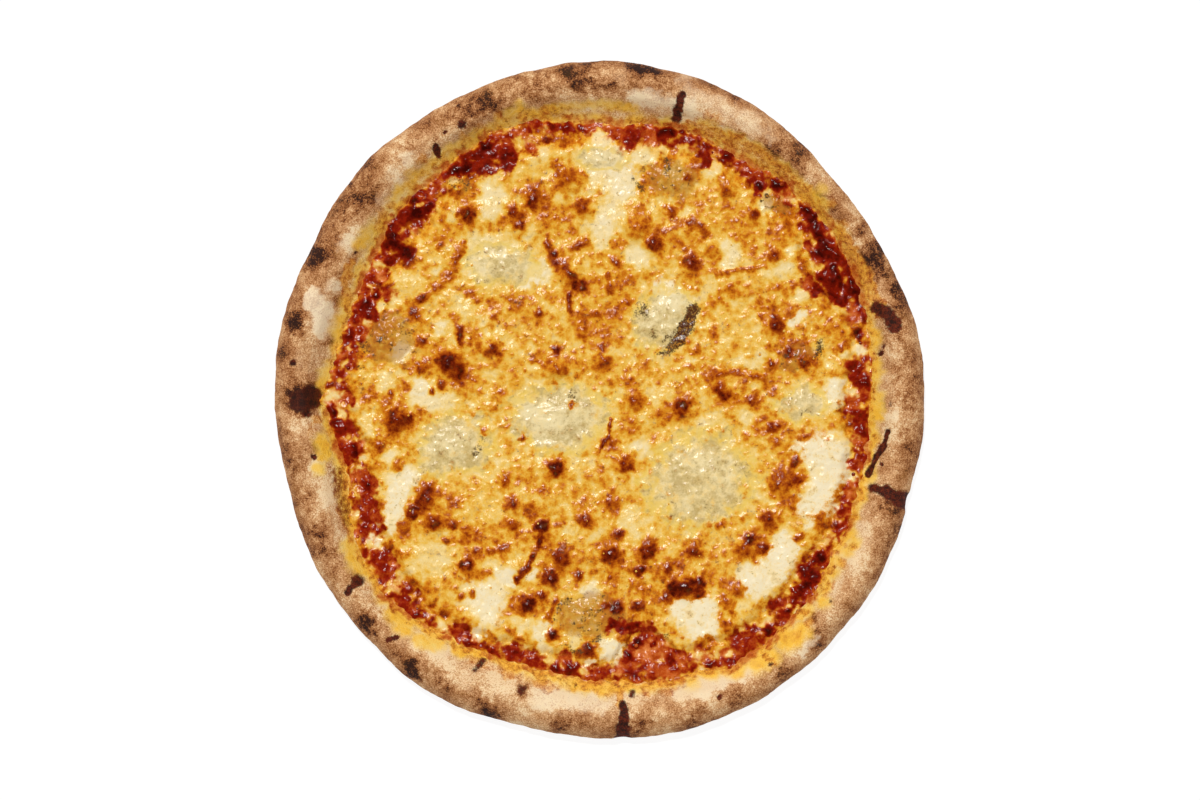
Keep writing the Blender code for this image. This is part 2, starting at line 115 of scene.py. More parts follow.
# Each mark is (x pixel, y pixel, half width in mm, value), or with more points a stroke through them. In
# the lists of patches, fringes and browned spots the value says how browned or dark the place is, from 0
# to 1. In the others it is how strongly the finish that the list is named for covers the place.
CHEESE_PATCHES = (
    (545, 165, 9.0, .32), (430, 255, 6.0, .34), (450, 385, 9.0, .38), (722, 318, 748, 333, 9.0, .34),
    (760, 240, 9.0, .42), (800, 395, 8.0, .28), (730, 545, 9.0, .4), (490, 500, 9.0, .36),
    (660, 330, 7.0, .42), (640, 480, 7.0, .32), (430, 560, 9.0, .28), (450, 600, 8.0, .4),
    (570, 605, 9.0, .38), (540, 480, 7.0, .42), (700, 215, 735, 222, 9.0, .46), (600, 330, 7.0, .52),
    (700, 380, 8.0, .44), (530, 380, 7.0, .34), (490, 180, 495, 200, 5.5, .12), (490, 212, 4.0, .1),
    (453, 205, 452, 222, 2.2, .15), (585, 193, 3.5, .15), (520, 150, 560, 150, 5.0, .3),
    (560, 200, 3.5, .26), (600, 165, 603, 185, 6.5, .08), (600, 215, 603, 240, 5.5, .1),
    (588, 222, 3.0, .12), (475, 245, 505, 250, 8.0, .1), (475, 270, 4.0, .06),
    (500, 270, 510, 262, 6.0, .12), (530, 235, 2.8, .15), (525, 275, 545, 270, 5.5, .02),
    (437, 271, 3.0, .08), (440, 327, 3.2, .06), (483, 321, 2.6, .12), (452, 344, 3.0, .1),
    (400, 352, 5.8, .08), (388, 375, 4.5, .18), (455, 300, 468, 312, 4.2, .24), (545, 310, 3.4, .22),
    (555, 340, 3.6, .22), (503, 333, 512, 345, 3.2, .24), (415, 285, 400, 275, 5.0, .28),
    (490, 278, 490, 292, 4.6, .32), (428, 235, 440, 238, 5.5, .5), (447, 230, 4.2, .6),
    (403, 264, 3.8, .6), (425, 262, 3.0, .5), (474, 186, 2.4, .62), (495, 225, 3.4, .56),
    (545, 205, 552, 220, 5.0, .6), (565, 218, 2.4, .6), (556, 165, 560, 180, 3.4, .68),
    (578, 183, 3.8, .6), (586, 176, 2.2, .62), (600, 192, 2.6, .5), (590, 208, 5.0, .6),
    (575, 232, 3.2, .56), (524, 257, 3.0, .5), (466, 291, 478, 296, 2.6, .6), (487, 303, 3.0, .62),
    (512, 304, 532, 300, 3.4, .56), (551, 302, 2.8, .52), (570, 288, 4.2, .64), (598, 300, 4.0, .5),
    (455, 318, 2.6, .6), (475, 340, 488, 352, 3.4, .64), (500, 345, 2.8, .56),
    (585, 320, 603, 345, 6.5, .6), (556, 366, 6.0, .62), (603, 362, 4.2, .7), (560, 330, 3.6, .5),
    (590, 290, 600, 283, 3.0, .6), (600, 262, 3.4, .54), (545, 345, 2.8, .44),
    (465, 362, 475, 368, 3.4, .46), (615, 165, 622, 190, 7.5, .08), (612, 210, 606, 232, 6.0, .08),
    (640, 158, 650, 150, 5.0, .1), (632, 255, 646, 258, 5.2, .1), (687, 212, 3.0, .18),
    (712, 170, 4.2, .1), (731, 245, 730, 262, 5.0, .08), (766, 197, 765, 212, 3.8, .14),
    (791, 250, 4.0, .1), (772, 270, 785, 268, 4.2, .16), (745, 263, 3.6, .28), (797, 320, 5.0, .04),
    (800, 296, 3.8, .15), (818, 270, 3.4, .2), (755, 331, 2.4, .2), (763, 352, 3.8, .14),
    (712, 283, 705, 297, 4.2, .24), (690, 357, 3.0, .15), (613, 352, 3.2, .24), (635, 330, 3.8, .24),
    (735, 366, 755, 362, 4.2, .18), (700, 203, 3.6, .58), (724, 205, 2.6, .6), (690, 235, 4.4, .52),
    (735, 228, 750, 240, 5.0, .52), (780, 225, 790, 215, 5.4, .62), (775, 242, 4.6, .54),
    (748, 215, 4.2, .64), (655, 178, 648, 188, 4.8, .58), (690, 170, 4.6, .56), (700, 155, 5.0, .62),
    (665, 163, 2.8, .68), (660, 232, 3.8, .62), (645, 222, 4.6, .58), (678, 243, 690, 250, 3.2, .6),
    (711, 256, 4.2, .6), (613, 245, 622, 235, 2.8, .54), (603, 258, 4.0, .52),
    (610, 285, 630, 278, 3.6, .62), (690, 285, 4.4, .52), (732, 290, 3.8, .58), (712, 302, 3.6, .6),
    (727, 308, 2.8, .5), (760, 300, 3.2, .6), (765, 316, 785, 310, 4.2, .6), (785, 292, 4.0, .56),
    (712, 335, 3.8, .6), (733, 347, 3.8, .48), (697, 352, 3.4, .62), (620, 312, 3.6, .64),
    (640, 343, 655, 350, 4.2, .6), (643, 363, 4.0, .6), (720, 374, 4.0, .62), (755, 375, 3.0, .6),
    (770, 348, 3.2, .6), (786, 336, 4.0, .6), (800, 350, 5.4, .66), (812, 360, 3.8, .7),
    (422, 386, 4.8, .04), (420, 403, 445, 398, 6.0, .1), (388, 388, 4.0, .2), (470, 405, 2.2, .18),
    (391, 455, 4.8, .1), (410, 477, 398, 485, 7.5, .02), (400, 500, 393, 525, 4.8, .12),
    (490, 452, 500, 468, 2.2, .24), (545, 452, 4.5, .24), (577, 463, 5.0, .24), (598, 394, 3.3, .16),
    (430, 540, 438, 556, 6.5, .2), (493, 517, 4.6, .28), (570, 526, 4.2, .24), (595, 536, 4.2, .18),
    (446, 533, 1.9, .08), (495, 560, 4.2, .2), (495, 582, 510, 577, 6.5, .04), (532, 572, 3.6, .06),
    (590, 590, 5.2, .1), (412, 566, 3.6, .2), (465, 585, 3.6, .16), (502, 392, 3.0, .62),
    (483, 412, 3.4, .56), (497, 424, 2.8, .58), (421, 411, 3.4, .7), (415, 426, 3.0, .6),
    (407, 388, 2.8, .6), (432, 457, 450, 460, 4.0, .54), (420, 445, 4.6, .42), (487, 443, 3.4, .56),
    (440, 477, 4.6, .58), (470, 530, 465, 540, 4.6, .64), (490, 531, 4.6, .48), (511, 481, 3.8, .66),
    (529, 470, 2.4, .58), (541, 491, 3.4, .68), (530, 512, 4.2, .64), (545, 542, 5.4, .6),
    (500, 548, 4.0, .7), (562, 550, 6.0, .62), (600, 470, 3.2, .58), (590, 500, 4.6, .5),
    (580, 512, 3.6, .55), (601, 545, 4.6, .66), (560, 520, 2.8, .6), (601, 505, 3.2, .6),
    (455, 500, 3.8, .66), (530, 440, 3.2, .5), (590, 380, 3.2, .5), (602, 412, 3.6, .6),
    (643, 445, 4.8, .12), (655, 395, 668, 390, 4.6, .24), (700, 425, 4.6, .2), (745, 418, 3.8, .2),
    (716, 408, 4.6, .36), (752, 386, 3.2, .26), (628, 510, 632, 532, 4.6, .18), (674, 545, 3.4, .28),
    (627, 553, 2.4, .22), (820, 465, 812, 490, 9.0, .03), (782, 545, 770, 570, 7.5, .03),
    (745, 570, 4.5, .1), (750, 585, 7.0, .08), (700, 597, 7.5, .03), (805, 520, 4.6, .28),
    (830, 400, 836, 385, 4.5, .06), (840, 440, 843, 460, 4.6, .14), (610, 385, 612, 400, 4.2, .6),
    (628, 382, 2.8, .62), (660, 415, 672, 410, 5.0, .64), (736, 402, 4.6, .6), (723, 396, 4.6, .66),
    (757, 402, 2.8, .6), (770, 388, 3.2, .6), (770, 420, 785, 425, 6.0, .6), (757, 432, 2.6, .62),
    (750, 440, 3.6, .5), (785, 446, 3.4, .6), (805, 435, 2.4, .64), (780, 475, 790, 480, 6.8, .7),
    (783, 500, 790, 495, 4.6, .6), (762, 466, 4.2, .5), (771, 523, 4.2, .7),
    (745, 548, 760, 545, 5.4, .68), (760, 530, 3.6, .56), (720, 527, 3.8, .6), (740, 515, 3.8, .52),
    (692, 545, 5.0, .64), (702, 535, 5.0, .52), (655, 545, 3.8, .7), (645, 560, 2.8, .66),
    (670, 572, 5.0, .66), (706, 575, 3.4, .58), (735, 586, 4.2, .68), (722, 561, 4.6, .5),
    (612, 505, 4.4, .64), (629, 500, 3.8, .5), (612, 441, 3.4, .66), (640, 586, 652, 588, 3.2, .58),
    (620, 560, 4.4, .66), (660, 520, 4.2, .48), (655, 430, 3.8, .42), (622, 480, 3.8, .42),
    (480, 600, 490, 610, 9.0, .06), (520, 622, 5.0, .1), (540, 630, 545, 645, 5.0, .06),
    (497, 622, 3.8, .3), (575, 640, 4.6, .12), (590, 660, 3.6, .05), (612, 648, 5.5, .06),
    (687, 612, 700, 620, 8.0, .03), (665, 637, 3.6, .14), (715, 600, 3.8, .14), (740, 605, 4.6, .2),
    (765, 590, 5.0, .1), (745, 620, 4.6, .3), (690, 645, 3.4, .24), (505, 612, 3.8, .5),
    (519, 605, 4.6, .62), (432, 598, 3.4, .52), (447, 610, 4.6, .6), (460, 618, 2.8, .55),
    (487, 635, 2.8, .62), (513, 636, 4.2, .66), (533, 645, 2.4, .66), (556, 590, 3.8, .42),
    (585, 635, 3.6, .5), (672, 632, 2.8, .55), (712, 640, 3.8, .56), (731, 606, 2.6, .62),
    (655, 612, 2.8, .52), (385, 325, 6.8, .62), (390, 348, 3.8, .6), (370, 395, 4.2, .6),
    (355, 387, 4.6, .5), (367, 376, 3.8, .34), (366, 420, 368, 430, 4.2, .18), (382, 432, 4.6, .42),
    (395, 440, 3.4, .62), (378, 445, 4.0, .7), (371, 406, 4.2, .38), (356, 406, 2.6, .24),
    (386, 400, 3.4, .5), (378, 490, 3.8, .24), (383, 485, 1.8, .56), (382, 505, 2.2, .62),
    (545, 150, 3.0, .12), (526, 152, 3.6, .44), (540, 138, 4.6, .6), (566, 138, 5.0, .64),
    (600, 142, 6.0, .1), (730, 178, 3.6, .52), (775, 212, 3.4, .6), (760, 260, 3.0, .5),
    (753, 246, 3.0, .58), (610, 577, 3.0, .5), (500, 500, 3.0, .44),
)
# Two of these, at (455, 182) and (843, 354), are pale spots painted where glints lie: painted highlights.
FRINGES_AND_GLINTS = (
    (455, 182, 3.0, .12), (398, 302, 3.0, .2), (386, 303, 379, 306, 1.6, .15), (368, 320, 2.2, .12),
    (372, 288, 1.6, .2), (378, 262, 2.2, .25), (350, 347, 1.4, .2), (343, 364, 1.8, .25),
    (330, 394, 340, 396, 2.6, .14), (343, 414, 2.0, .2), (364, 456, 2.2, .1), (360, 468, 1.8, .3),
    (376, 541, 3.4, .04), (392, 585, 399, 588, 2.2, .2), (397, 572, 1.6, .3), (440, 625, 3.0, .12),
    (478, 634, 3.2, .06), (432, 629, 1.8, .2), (505, 640, 3.0, .3), (526, 646, 1.8, .25),
    (550, 657, 2.4, .22), (585, 669, 2.4, .25), (703, 672, 3.0, .04), (697, 655, 3.0, .16),
    (730, 652, 2.2, .2), (762, 622, 768, 620, 2.2, .15), (786, 605, 1.6, .2), (795, 610, 1.6, .3),
    (826, 537, 2.4, .2), (836, 542, 1.8, .25), (852, 392, 2.4, .16), (850, 455, 2.4, .2),
    (850, 475, 3.0, .22), (862, 405, 1.8, .35), (862, 350, 855, 347, 3.2, .08), (843, 354, 1.8, .12),
    (868, 370, 2.0, .25), (797, 206, 1.6, .3), (777, 171, 1.8, .35), (706, 137, 2.0, .3),
    (683, 150, 2.8, .35), (660, 148, 652, 150, 3.0, .25), (606, 121, 1.4, .25), (556, 121, 1.6, .3),
    (517, 141, 1.8, .35), (497, 125, 2.4, .35), (463, 133, 3.0, .3), (420, 204, 1.2, .2),
    (790, 197, 2.6, .28), (742, 630, 1.8, .3), (715, 655, 1.6, .3),
)
SAUCE_PATCHES = (
    (375, 246, 374, 262, 2.0, .55), (383, 240, 3.6, .62), (389, 259, 2.6, .8), (405, 254, 3.0, 1.0),
    (391, 238, 4.8, 1.0), (391, 225, 2.6, .8), (414, 201, 418, 215, 3.4, .95), (430, 205, 3.0, .95),
    (402, 216, 3.4, .7), (390, 214, 1.8, .8), (431, 183, 3.2, .6), (436, 173, 2.4, .65),
    (421, 190, 2.2, .8), (465, 156, 3.2, .85), (453, 174, 467, 167, 2.8, 1.0),
    (474, 155, 492, 156, 2.4, .75), (485, 136, 485, 146, 3.6, 1.0), (488, 167, 3.2, .85),
    (507, 153, 3.4, .85), (508, 164, 2.8, .85), (476, 165, 2.4, .7), (463, 141, 2.6, .45),
    (533, 124, 3.0, .6), (547, 112, 2.4, .6), (551, 126, 2.2, .85), (567, 127, 2.6, .85),
    (531, 147, 2.6, .45), (508, 144, 3.0, .5), (573, 116, 3.0, .25), (590, 123, 3.4, .4),
    (608, 123, 3.0, .42), (619, 117, 617, 134, 2.6, .5), (632, 133, 630, 142, 3.2, .7),
    (650, 136, 3.8, .45), (662, 130, 682, 127, 2.8, 1.0), (660, 137, 2.4, .85), (652, 122, 3.2, .4),
    (675, 119, 2.4, .75), (688, 143, 2.8, .75), (706, 143, 2.6, .8), (704, 153, 2.2, .7),
    (707, 162, 2.2, .75), (697, 134, 2.6, .4), (727, 141, 2.6, .85), (729, 154, 3.0, .85),
    (742, 161, 755, 172, 3.4, .55), (759, 186, 2.4, 1.0), (774, 184, 790, 183, 2.6, 1.0),
    (790, 192, 3.0, .55), (803, 208, 2.4, 1.0), (813, 216, 2.8, .95), (829, 226, 2.8, .65),
    (806, 207, 812, 222, 820, 240, 830, 255, 2.6, .92), (838, 250, 3.0, .72),
    (822, 275, 840, 300, 2.4, .86), (848, 266, 862, 302, 2.6, .9), (819, 236, 2.8, .95),
    (822, 253, 3.6, .95), (838, 254, 3.0, .8), (832, 266, 836, 281, 2.6, .9), (828, 279, 2.2, .9),
    (853, 267, 2.2, .8), (853, 286, 3.2, .9), (861, 298, 3.2, .95), (838, 297, 3.2, .85),
    (816, 292, 2.0, .8), (808, 283, 2.2, .45), (854, 313, 3.4, .4), (843, 262, 2.6, .7),
    (867, 359, 2.2, .6), (852, 366, 859, 376, 2.6, .75), (863, 384, 2.8, .85), (852, 402, 3.4, .5),
    (859, 413, 861, 430, 3.2, .75), (863, 443, 3.2, .5), (866, 452, 2.6, .7), (861, 462, 2.4, .5),
    (853, 468, 2.4, .6), (852, 484, 2.2, .4), (849, 493, 2.2, .45), (843, 507, 3.0, .75),
    (838, 531, 851, 522, 2.4, .6), (845, 543, 2.0, .3), (829, 551, 2.2, .6), (820, 557, 3.0, 1.0),
    (806, 570, 3.2, .95), (815, 577, 2.4, .9), (807, 583, 2.8, 1.0), (800, 592, 3.4, .9),
    (809, 597, 3.0, .5), (793, 603, 2.4, .8), (777, 603, 3.0, .7), (787, 612, 3.0, .95),
    (783, 621, 793, 617, 2.6, .6), (768, 630, 3.0, 1.0), (768, 641, 3.4, .55), (778, 638, 2.2, .8),
    (745, 640, 744, 655, 5.0, .6), (727, 666, 3.4, .65), (754, 650, 3.0, .6), (712, 662, 2.8, .85),
    (700, 650, 2.6, .65), (683, 657, 2.6, .45), (691, 666, 2.0, .6), (671, 659, 2.6, .75),
    (645, 652, 652, 648, 5.4, .3), (652, 669, 674, 674, 3.8, .42), (632, 664, 3.4, .45),
    (619, 679, 2.2, .7), (629, 656, 2.2, .95), (639, 641, 2.2, .95), (654, 643, 2.0, .8),
    (646, 630, 2.8, .6), (610, 624, 634, 626, 1.8, .85), (596, 675, 4.0, .5), (569, 670, 3.2, .9),
    (568, 657, 2.4, .45), (554, 668, 2.8, .95), (532, 660, 3.8, .62), (514, 652, 3.4, .7),
    (492, 652, 3.2, .75), (499, 643, 2.0, .6), (472, 642, 2.8, .95), (461, 628, 2.6, .6),
    (448, 634, 2.4, .4), (428, 622, 2.0, .75), (435, 625, 1.6, .7), (417, 614, 2.2, .85),
    (396, 600, 411, 611, 3.0, .6), (385, 594, 3.2, .55), (404, 592, 3.2, .7),
    (376, 556, 384, 567, 3.2, .7), (387, 575, 2.6, .6), (388, 556, 2.2, .7), (364, 530, 2.8, .7),
    (376, 528, 2.4, .75), (368, 484, 368, 514, 2.8, .62), (367, 487, 1.8, .9), (378, 515, 2.2, .5),
    (360, 470, 366, 474, 2.0, .45), (355, 451, 3.2, 1.0), (339, 447, 345, 455, 3.4, .62),
    (345, 427, 3.6, .75), (332, 421, 3.0, .95), (334, 410, 2.6, .9), (342, 388, 2.4, .6),
    (348, 397, 2.6, .4), (341, 371, 2.8, .65), (352, 350, 352, 361, 2.6, .55), (349, 334, 2.6, .9),
    (355, 322, 2.4, .75), (366, 304, 368, 313, 3.8, .85), (375, 294, 2.2, .95), (388, 293, 2.6, .6),
    (362, 290, 368, 275, 3.0, .6), (382, 275, 2.8, .35), (420, 176, 3.0, .4), (445, 165, 3.0, .45),
    (437, 149, 1.8, .85), (360, 330, 3.4, .6),
)
# The first stroke, a thin dark curve at (610, 420) along the edge of a pale slice, is partly a crack and
# partly painted shadow under that edge.
BROWNED_AND_SHADOW = (
    (610, 420, 610, 434, 599, 450, .9, .88), (468, 215, 3.8, .9), (455, 190, 4.2, .74),
    (534, 194, 4.2, .8), (533, 203, 2.6, .92), (567, 178, 3.6, .72), (582, 207, 3.6, .78),
    (515, 213, 3.6, .84), (520, 226, 2.3, .86), (439, 246, 1.8, .7), (539, 314, 2.3, .78),
    (448, 362, 5.2, .97), (459, 372, 4.6, .9), (422, 341, 2.7, .82), (422, 367, 2.9, .78),
    (414, 313, 2.3, .85), (418, 318, 2.0, .8), (495, 350, 2.7, .86), (556, 350, 2.3, .9),
    (560, 370, 2.6, .72), (640, 226, 3.4, .66), (655, 244, 4.0, .88), (672, 212, 2.8, .82),
    (692, 224, 2.7, .78), (616, 263, 2.7, .74), (691, 263, 3.6, .84), (727, 192, 2.4, .78),
    (754, 216, 2.6, .8), (774, 257, 3.0, .8), (729, 287, 1.8, .68), (777, 324, 3.8, .92),
    (789, 352, 3.4, .84), (772, 365, 2.7, .78), (605, 362, 3.0, .76), (720, 389, 3.2, .88),
    (725, 394, 2.6, .86), (596, 313, 1.8, .74), (422, 502, 428, 490, 4.0, .84), (414, 512, 3.4, .96),
    (433, 522, 3.8, .88), (404, 527, 2.7, .76), (453, 524, 2.4, .8), (397, 417, 395, 424, 4.4, .86),
    (408, 420, 2.4, .9), (506, 480, 2.6, .78), (513, 504, 2.8, .8), (513, 524, 2.6, .8),
    (555.7, 467.5, 3.9, .97), (542, 525, 3.4, .99), (562, 558, 4.2, .86), (551, 577, 3.6, .9),
    (578, 577, 2.9, .84), (467, 563, 3.2, .95), (477, 551, 2.3, .74), (486, 572, 2.3, .7),
    (473, 593, 1.9, .8), (529, 603, 3.8, .95), (522, 610, 2.6, .86), (541, 596, 2.6, .82),
    (585, 519, 3.2, .84), (608, 555, 3.6, .96), (553, 634, 2.9, .97), (589, 649, 2.8, .92),
    (635, 402, 3.6, .76), (681, 406, 4.4, .88), (751, 399, 2.7, .76), (773, 427, 3.2, .8),
    (803, 436, 1.8, .7), (777, 442, 2.0, .7), (626, 464, 3.6, .88), (793, 461, 2.7, .82),
    (797, 478, 3.2, .84), (775, 486, 2.8, .82), (767, 518, 3.6, .86), (749, 538, 3.2, .96),
    (762, 549, 2.9, .88), (744, 549, 3.0, .8), (798, 536, 2.2, .78), (693, 551, 3.4, .86),
    (647, 551, 3.6, .92), (640, 569, 2.7, .93), (666, 567, 3.2, .78), (666, 598, 2.9, .82),
    (739, 590, 2.6, .76), (613, 553, 3.0, .92), (618, 534, 2.9, .88), (638, 605, 3.2, .86),
    (617, 607, 3.6, .97), (606, 605, 2.4, .84), (737, 632, 2.4, .72), (534, 358, 1.4, .72),
    (526, 370, 1.0, .66), (583, 332, 2.2, .74), (443, 385, 2.0, .78), (433, 391, 1.4, .72),
    (523, 437, 1.5, .74), (573, 404, 1.3, .8), (608, 287, 2.0, .74), (627, 302, 2.4, .74),
    (600, 315, 1.6, .7), (603, 347, 1.8, .76), (632, 423, 1.8, .72), (663, 424, 1.4, .7),
    (712, 376, 4.0, .66), (696, 350, 1.8, .68), (790, 505, 1.8, .68), (613, 441, 2.2, .72),
    (612, 502, 2.6, .76), (447, 540, 1.8, .72), (720, 525, 1.8, .68), (720, 300, 1.6, .66),
    (688, 178, 2.0, .82), (445, 613, 2.0, .84), (431, 606, 1.6, .72), (418, 598, 1.8, .72),
    (413, 586, 1.8, .76), (461, 595, 1.4, .74), (408, 554, 1.2, .66), (456, 577, 1.4, .62),
    (799, 327, 1.8, .62), (791, 311, 2.0, .68), (828, 326, 2.0, .54), (866, 340, 2.6, .58),
    (877, 341, 1.6, .66), (876, 330, 2.2, .86), (840, 349, 2.6, .66), (804, 362, 4.0, .76),
    (463, 244, 450, 278, 422, 298, 1.6, .74), (428, 296, 420, 300, 1.6, .86), (441, 284, 1.8, .74),
    (547, 241, 552, 254, 1.6, .76), (554, 256, 2.6, .9), (560, 264, 574, 280, 582, 289, 2.4, .86),
    (582, 284, 2.6, .88), (575, 248, 588, 240, 1.6, .78), (569, 295, 569, 310, 1.5, .84),
    (716, 274, 740, 270, 763, 267, 1.1, .66), (709, 376, 735, 372, 763, 377, 1.4, .68),
    (541, 530, 540, 545, 1.2, .93), (533, 556, 524, 570, 517, 581, 1.5, .86),
    (490, 550, 508, 548, 1.9, .78), (674, 588, 697, 584, 4.0, .96), (696, 590, 3.4, .86),
    (722, 596, 731, 610, 1.6, .74), (720, 618, 724, 622, 1.4, .68), (461, 328, 461, 342, 1.6, .84),
    (608, 272, 612, 292, 1.2, .7), (700, 226, 706, 236, 1.5, .76), (543, 141, 554, 141, 1.2, .9),
    (548, 616, 556, 600, 1.2, .76), (390, 400, 383, 408, 1.4, .74), (392, 392, 1.8, .78),
    (381, 445, 2.6, .76), (368, 397, 2.0, .7), (382, 505, 1.4, .72), (398, 465, 2.0, .66),
    (610, 577, 1.8, .72), (632, 584, 2.0, .74), (640, 589, 652, 587, 1.2, .66),
)
WHITE = (
    (812, 445, 832, 455, 838, 475, 825, 495, 812, 508, 8.5, 1.0), (785, 548, 772, 568, 750, 582, 7.5, .9),
    (690, 605, 700, 622, 9.5, 1.0), (480, 595, 492, 608, 8.5, .7),
    (412, 477, 398, 490, 393, 520, 5.5, .9), (545, 632, 5.0, .8), (613, 648, 7.0, .9),
    (797, 320, 5.0, .9), (835, 392, 6.0, .8), (505, 578, 6.0, .8), (532, 572, 3.0, .8),
    (612, 155, 620, 180, 7.5, .7), (603, 225, 5.0, .5), (532, 272, 6.0, .9), (478, 262, 5.0, .7),
    (400, 352, 5.0, .6), (422, 386, 4.0, .7), (440, 327, 2.5, .5), (430, 402, 5.0, .4),
    (478, 634, 3.0, .8), (590, 660, 3.4, .9), (703, 672, 3.0, .9), (376, 541, 3.0, .9),
    (862, 350, 3.0, .8), (640, 448, 3.0, .5), (590, 590, 4.5, .6), (662, 288, 676, 300, 5.0, .9),
    (530, 412, 572, 424, 6.0, .6), (600, 140, 5.0, .2), (505, 266, 4.0, .6), (450, 438, 5.0, .6),
    (690, 455, 5.0, .4), (812, 402, 5.0, .5),
)
RIND = (
    (693, 310, 687, 326, 677, 341, 3.4, 1.3), (684, 322, 678, 334, 2.0, 1.1),
    (676, 343, 668, 350, 2.4, 1.0), (667, 350, 658, 354, 1.3, .7), (674, 331, 664, 340, 1.0, .6),
    (642, 311, 4.0, .5), (655, 335, 3.0, .35), (481, 440, 478, 452, 2.0, .6), (632, 179, 1.3, .9),
    (637, 184, 643, 190, 1.4, .7), (820, 343, 818, 354, 2.2, .75), (768, 196, 1.4, 1.0),
    (761, 200, 1.1, .9), (787, 205, 1.3, .8), (459, 183, 4.0, .4), (665, 160, 667, 170, 1.8, .6),
    (408, 328, 4.0, .4), (364, 342, 368, 350, 2.4, .5), (381, 341, 385, 338, 1.6, .6),
    (362, 368, 2.0, .6), (386, 305, 1.4, .5), (556, 616, 560, 602, 575, 597, 1.4, .5),
    (583, 618, 1.6, .6), (592, 612, 3.0, .45), (563, 645, 580, 650, 602, 636, 1.4, .5),
    (660, 633, 668, 633, 1.6, .6), (628, 646, 2.2, .4), (570, 392, 575, 396, 2.4, .3),
    (570, 420, 2.6, .2), (790, 393, 2.0, .4), (803, 412, 2.6, .3), (856, 328, 1.4, .5),
    (849, 410, 1.2, .6), (573, 404, 1.0, .6),
)
CHAR = (
    (836, 210, 846, 222, 4.0, .45), (795, 158, 805, 168, 3.6, .5), (525, 84, 600, 76, 660, 86, 7.0, .3),
    (326, 262, 352, 208, 6.0, .3), (292, 400, 292, 470, 5.0, .3), (315, 257, 6.5, .95),
    (296, 324, 5.5, .8), (304, 400, 7.0, 1.35), (363, 203, 6.5, .7), (365, 170, 5.0, .55),
    (407, 146, 4.4, .55), (353, 188, 3.0, .6), (455, 116, 478, 106, 503, 103, 4.6, .65),
    (575, 88, 610, 85, 3.6, .7), (567, 68, 4.0, .5), (630, 68, 646, 70, 656, 76, 3.6, .9),
    (636, 86, 4.5, .5), (660, 97, 6.0, .45), (733, 98, 4.5, .4), (740, 138, 3.4, .7),
    (770, 153, 5.2, .75), (786, 172, 800, 178, 4.0, .6), (796, 145, 3.0, .5), (861, 229, 5.0, .6),
    (843, 223, 4.0, .5), (870, 250, 872, 270, 5.5, .9), (894, 291, 4.0, .7), (896, 305, 4.5, .4),
    (310, 495, 5.0, .5), (321, 533, 5.0, .6), (370, 620, 5.4, .95), (415, 667, 5.0, .95),
    (444, 676, 4.0, .8), (482, 703, 495, 712, 4.6, .9), (523, 689, 2.8, .8), (641, 721, 4.6, .7),
    (560, 722, 6.0, .4), (735, 697, 6.0, .55), (690, 718, 8.0, .4), (319, 549, 6.0, .5),
    (331, 343, 3.4, .75), (338, 304, 3.6, .7), (325, 262, 4.0, .6), (310, 402, 296, 405, 5.0, .6),
    (881, 505, 893, 512, 5.0, .55), (820, 636, 5.4, .75), (813, 616, 2.6, .8), (818, 629, 2.4, .8),
    (895, 335, 5.0, .4), (905, 360, 908, 450, 6.0, .35), (903, 430, 4.0, .45),
    (900, 520, 880, 570, 6.0, .4), (335, 600, 5.0, .4), (300, 440, 5.0, .3),
    (350, 210, 340, 235, 5.0, .45), (520, 80, 545, 88, 5.0, .45), (700, 700, 4.0, .4),
    (780, 670, 6.0, .45), (480, 690, 6.0, .35),
)
FLOUR = (
    (636, 98, 690, 106, 4.5, .8), (313, 294, 310, 306, 3.4, 1.0), (700, 690, 738, 676, 4.0, .8),
    (545, 690, 570, 693, 3.6, .8), (800, 650, 812, 640, 3.0, .8), (409, 161, 5.0, .7),
    (395, 175, 5.0, .6), (383, 200, 5.0, .5), (350, 242, 6.0, .7), (320, 298, 324, 325, 5.5, 1.0),
    (335, 285, 4.0, .7), (757, 127, 720, 108, 690, 95, 6.0, .6), (685, 78, 5.0, .6),
    (540, 695, 565, 698, 600, 700, 6.0, .75), (770, 135, 5.0, .6),
    (679, 690, 720, 680, 752, 664, 5.0, .6), (860, 528, 850, 560, 6.0, .5), (318, 465, 4.0, .9),
    (440, 648, 6.0, .6), (360, 560, 5.0, .4), (470, 675, 6.0, .4), (890, 415, 4.0, .6),
    (880, 375, 5.0, .4), (820, 600, 840, 580, 5.0, .4), (500, 690, 5.0, .4), (620, 78, 5.0, .4),
    (850, 205, 5.0, .4), (300, 360, 5.0, .4), (330, 500, 6.0, .5), (405, 640, 5.0, .4),
    (800, 150, 5.0, .3),
)
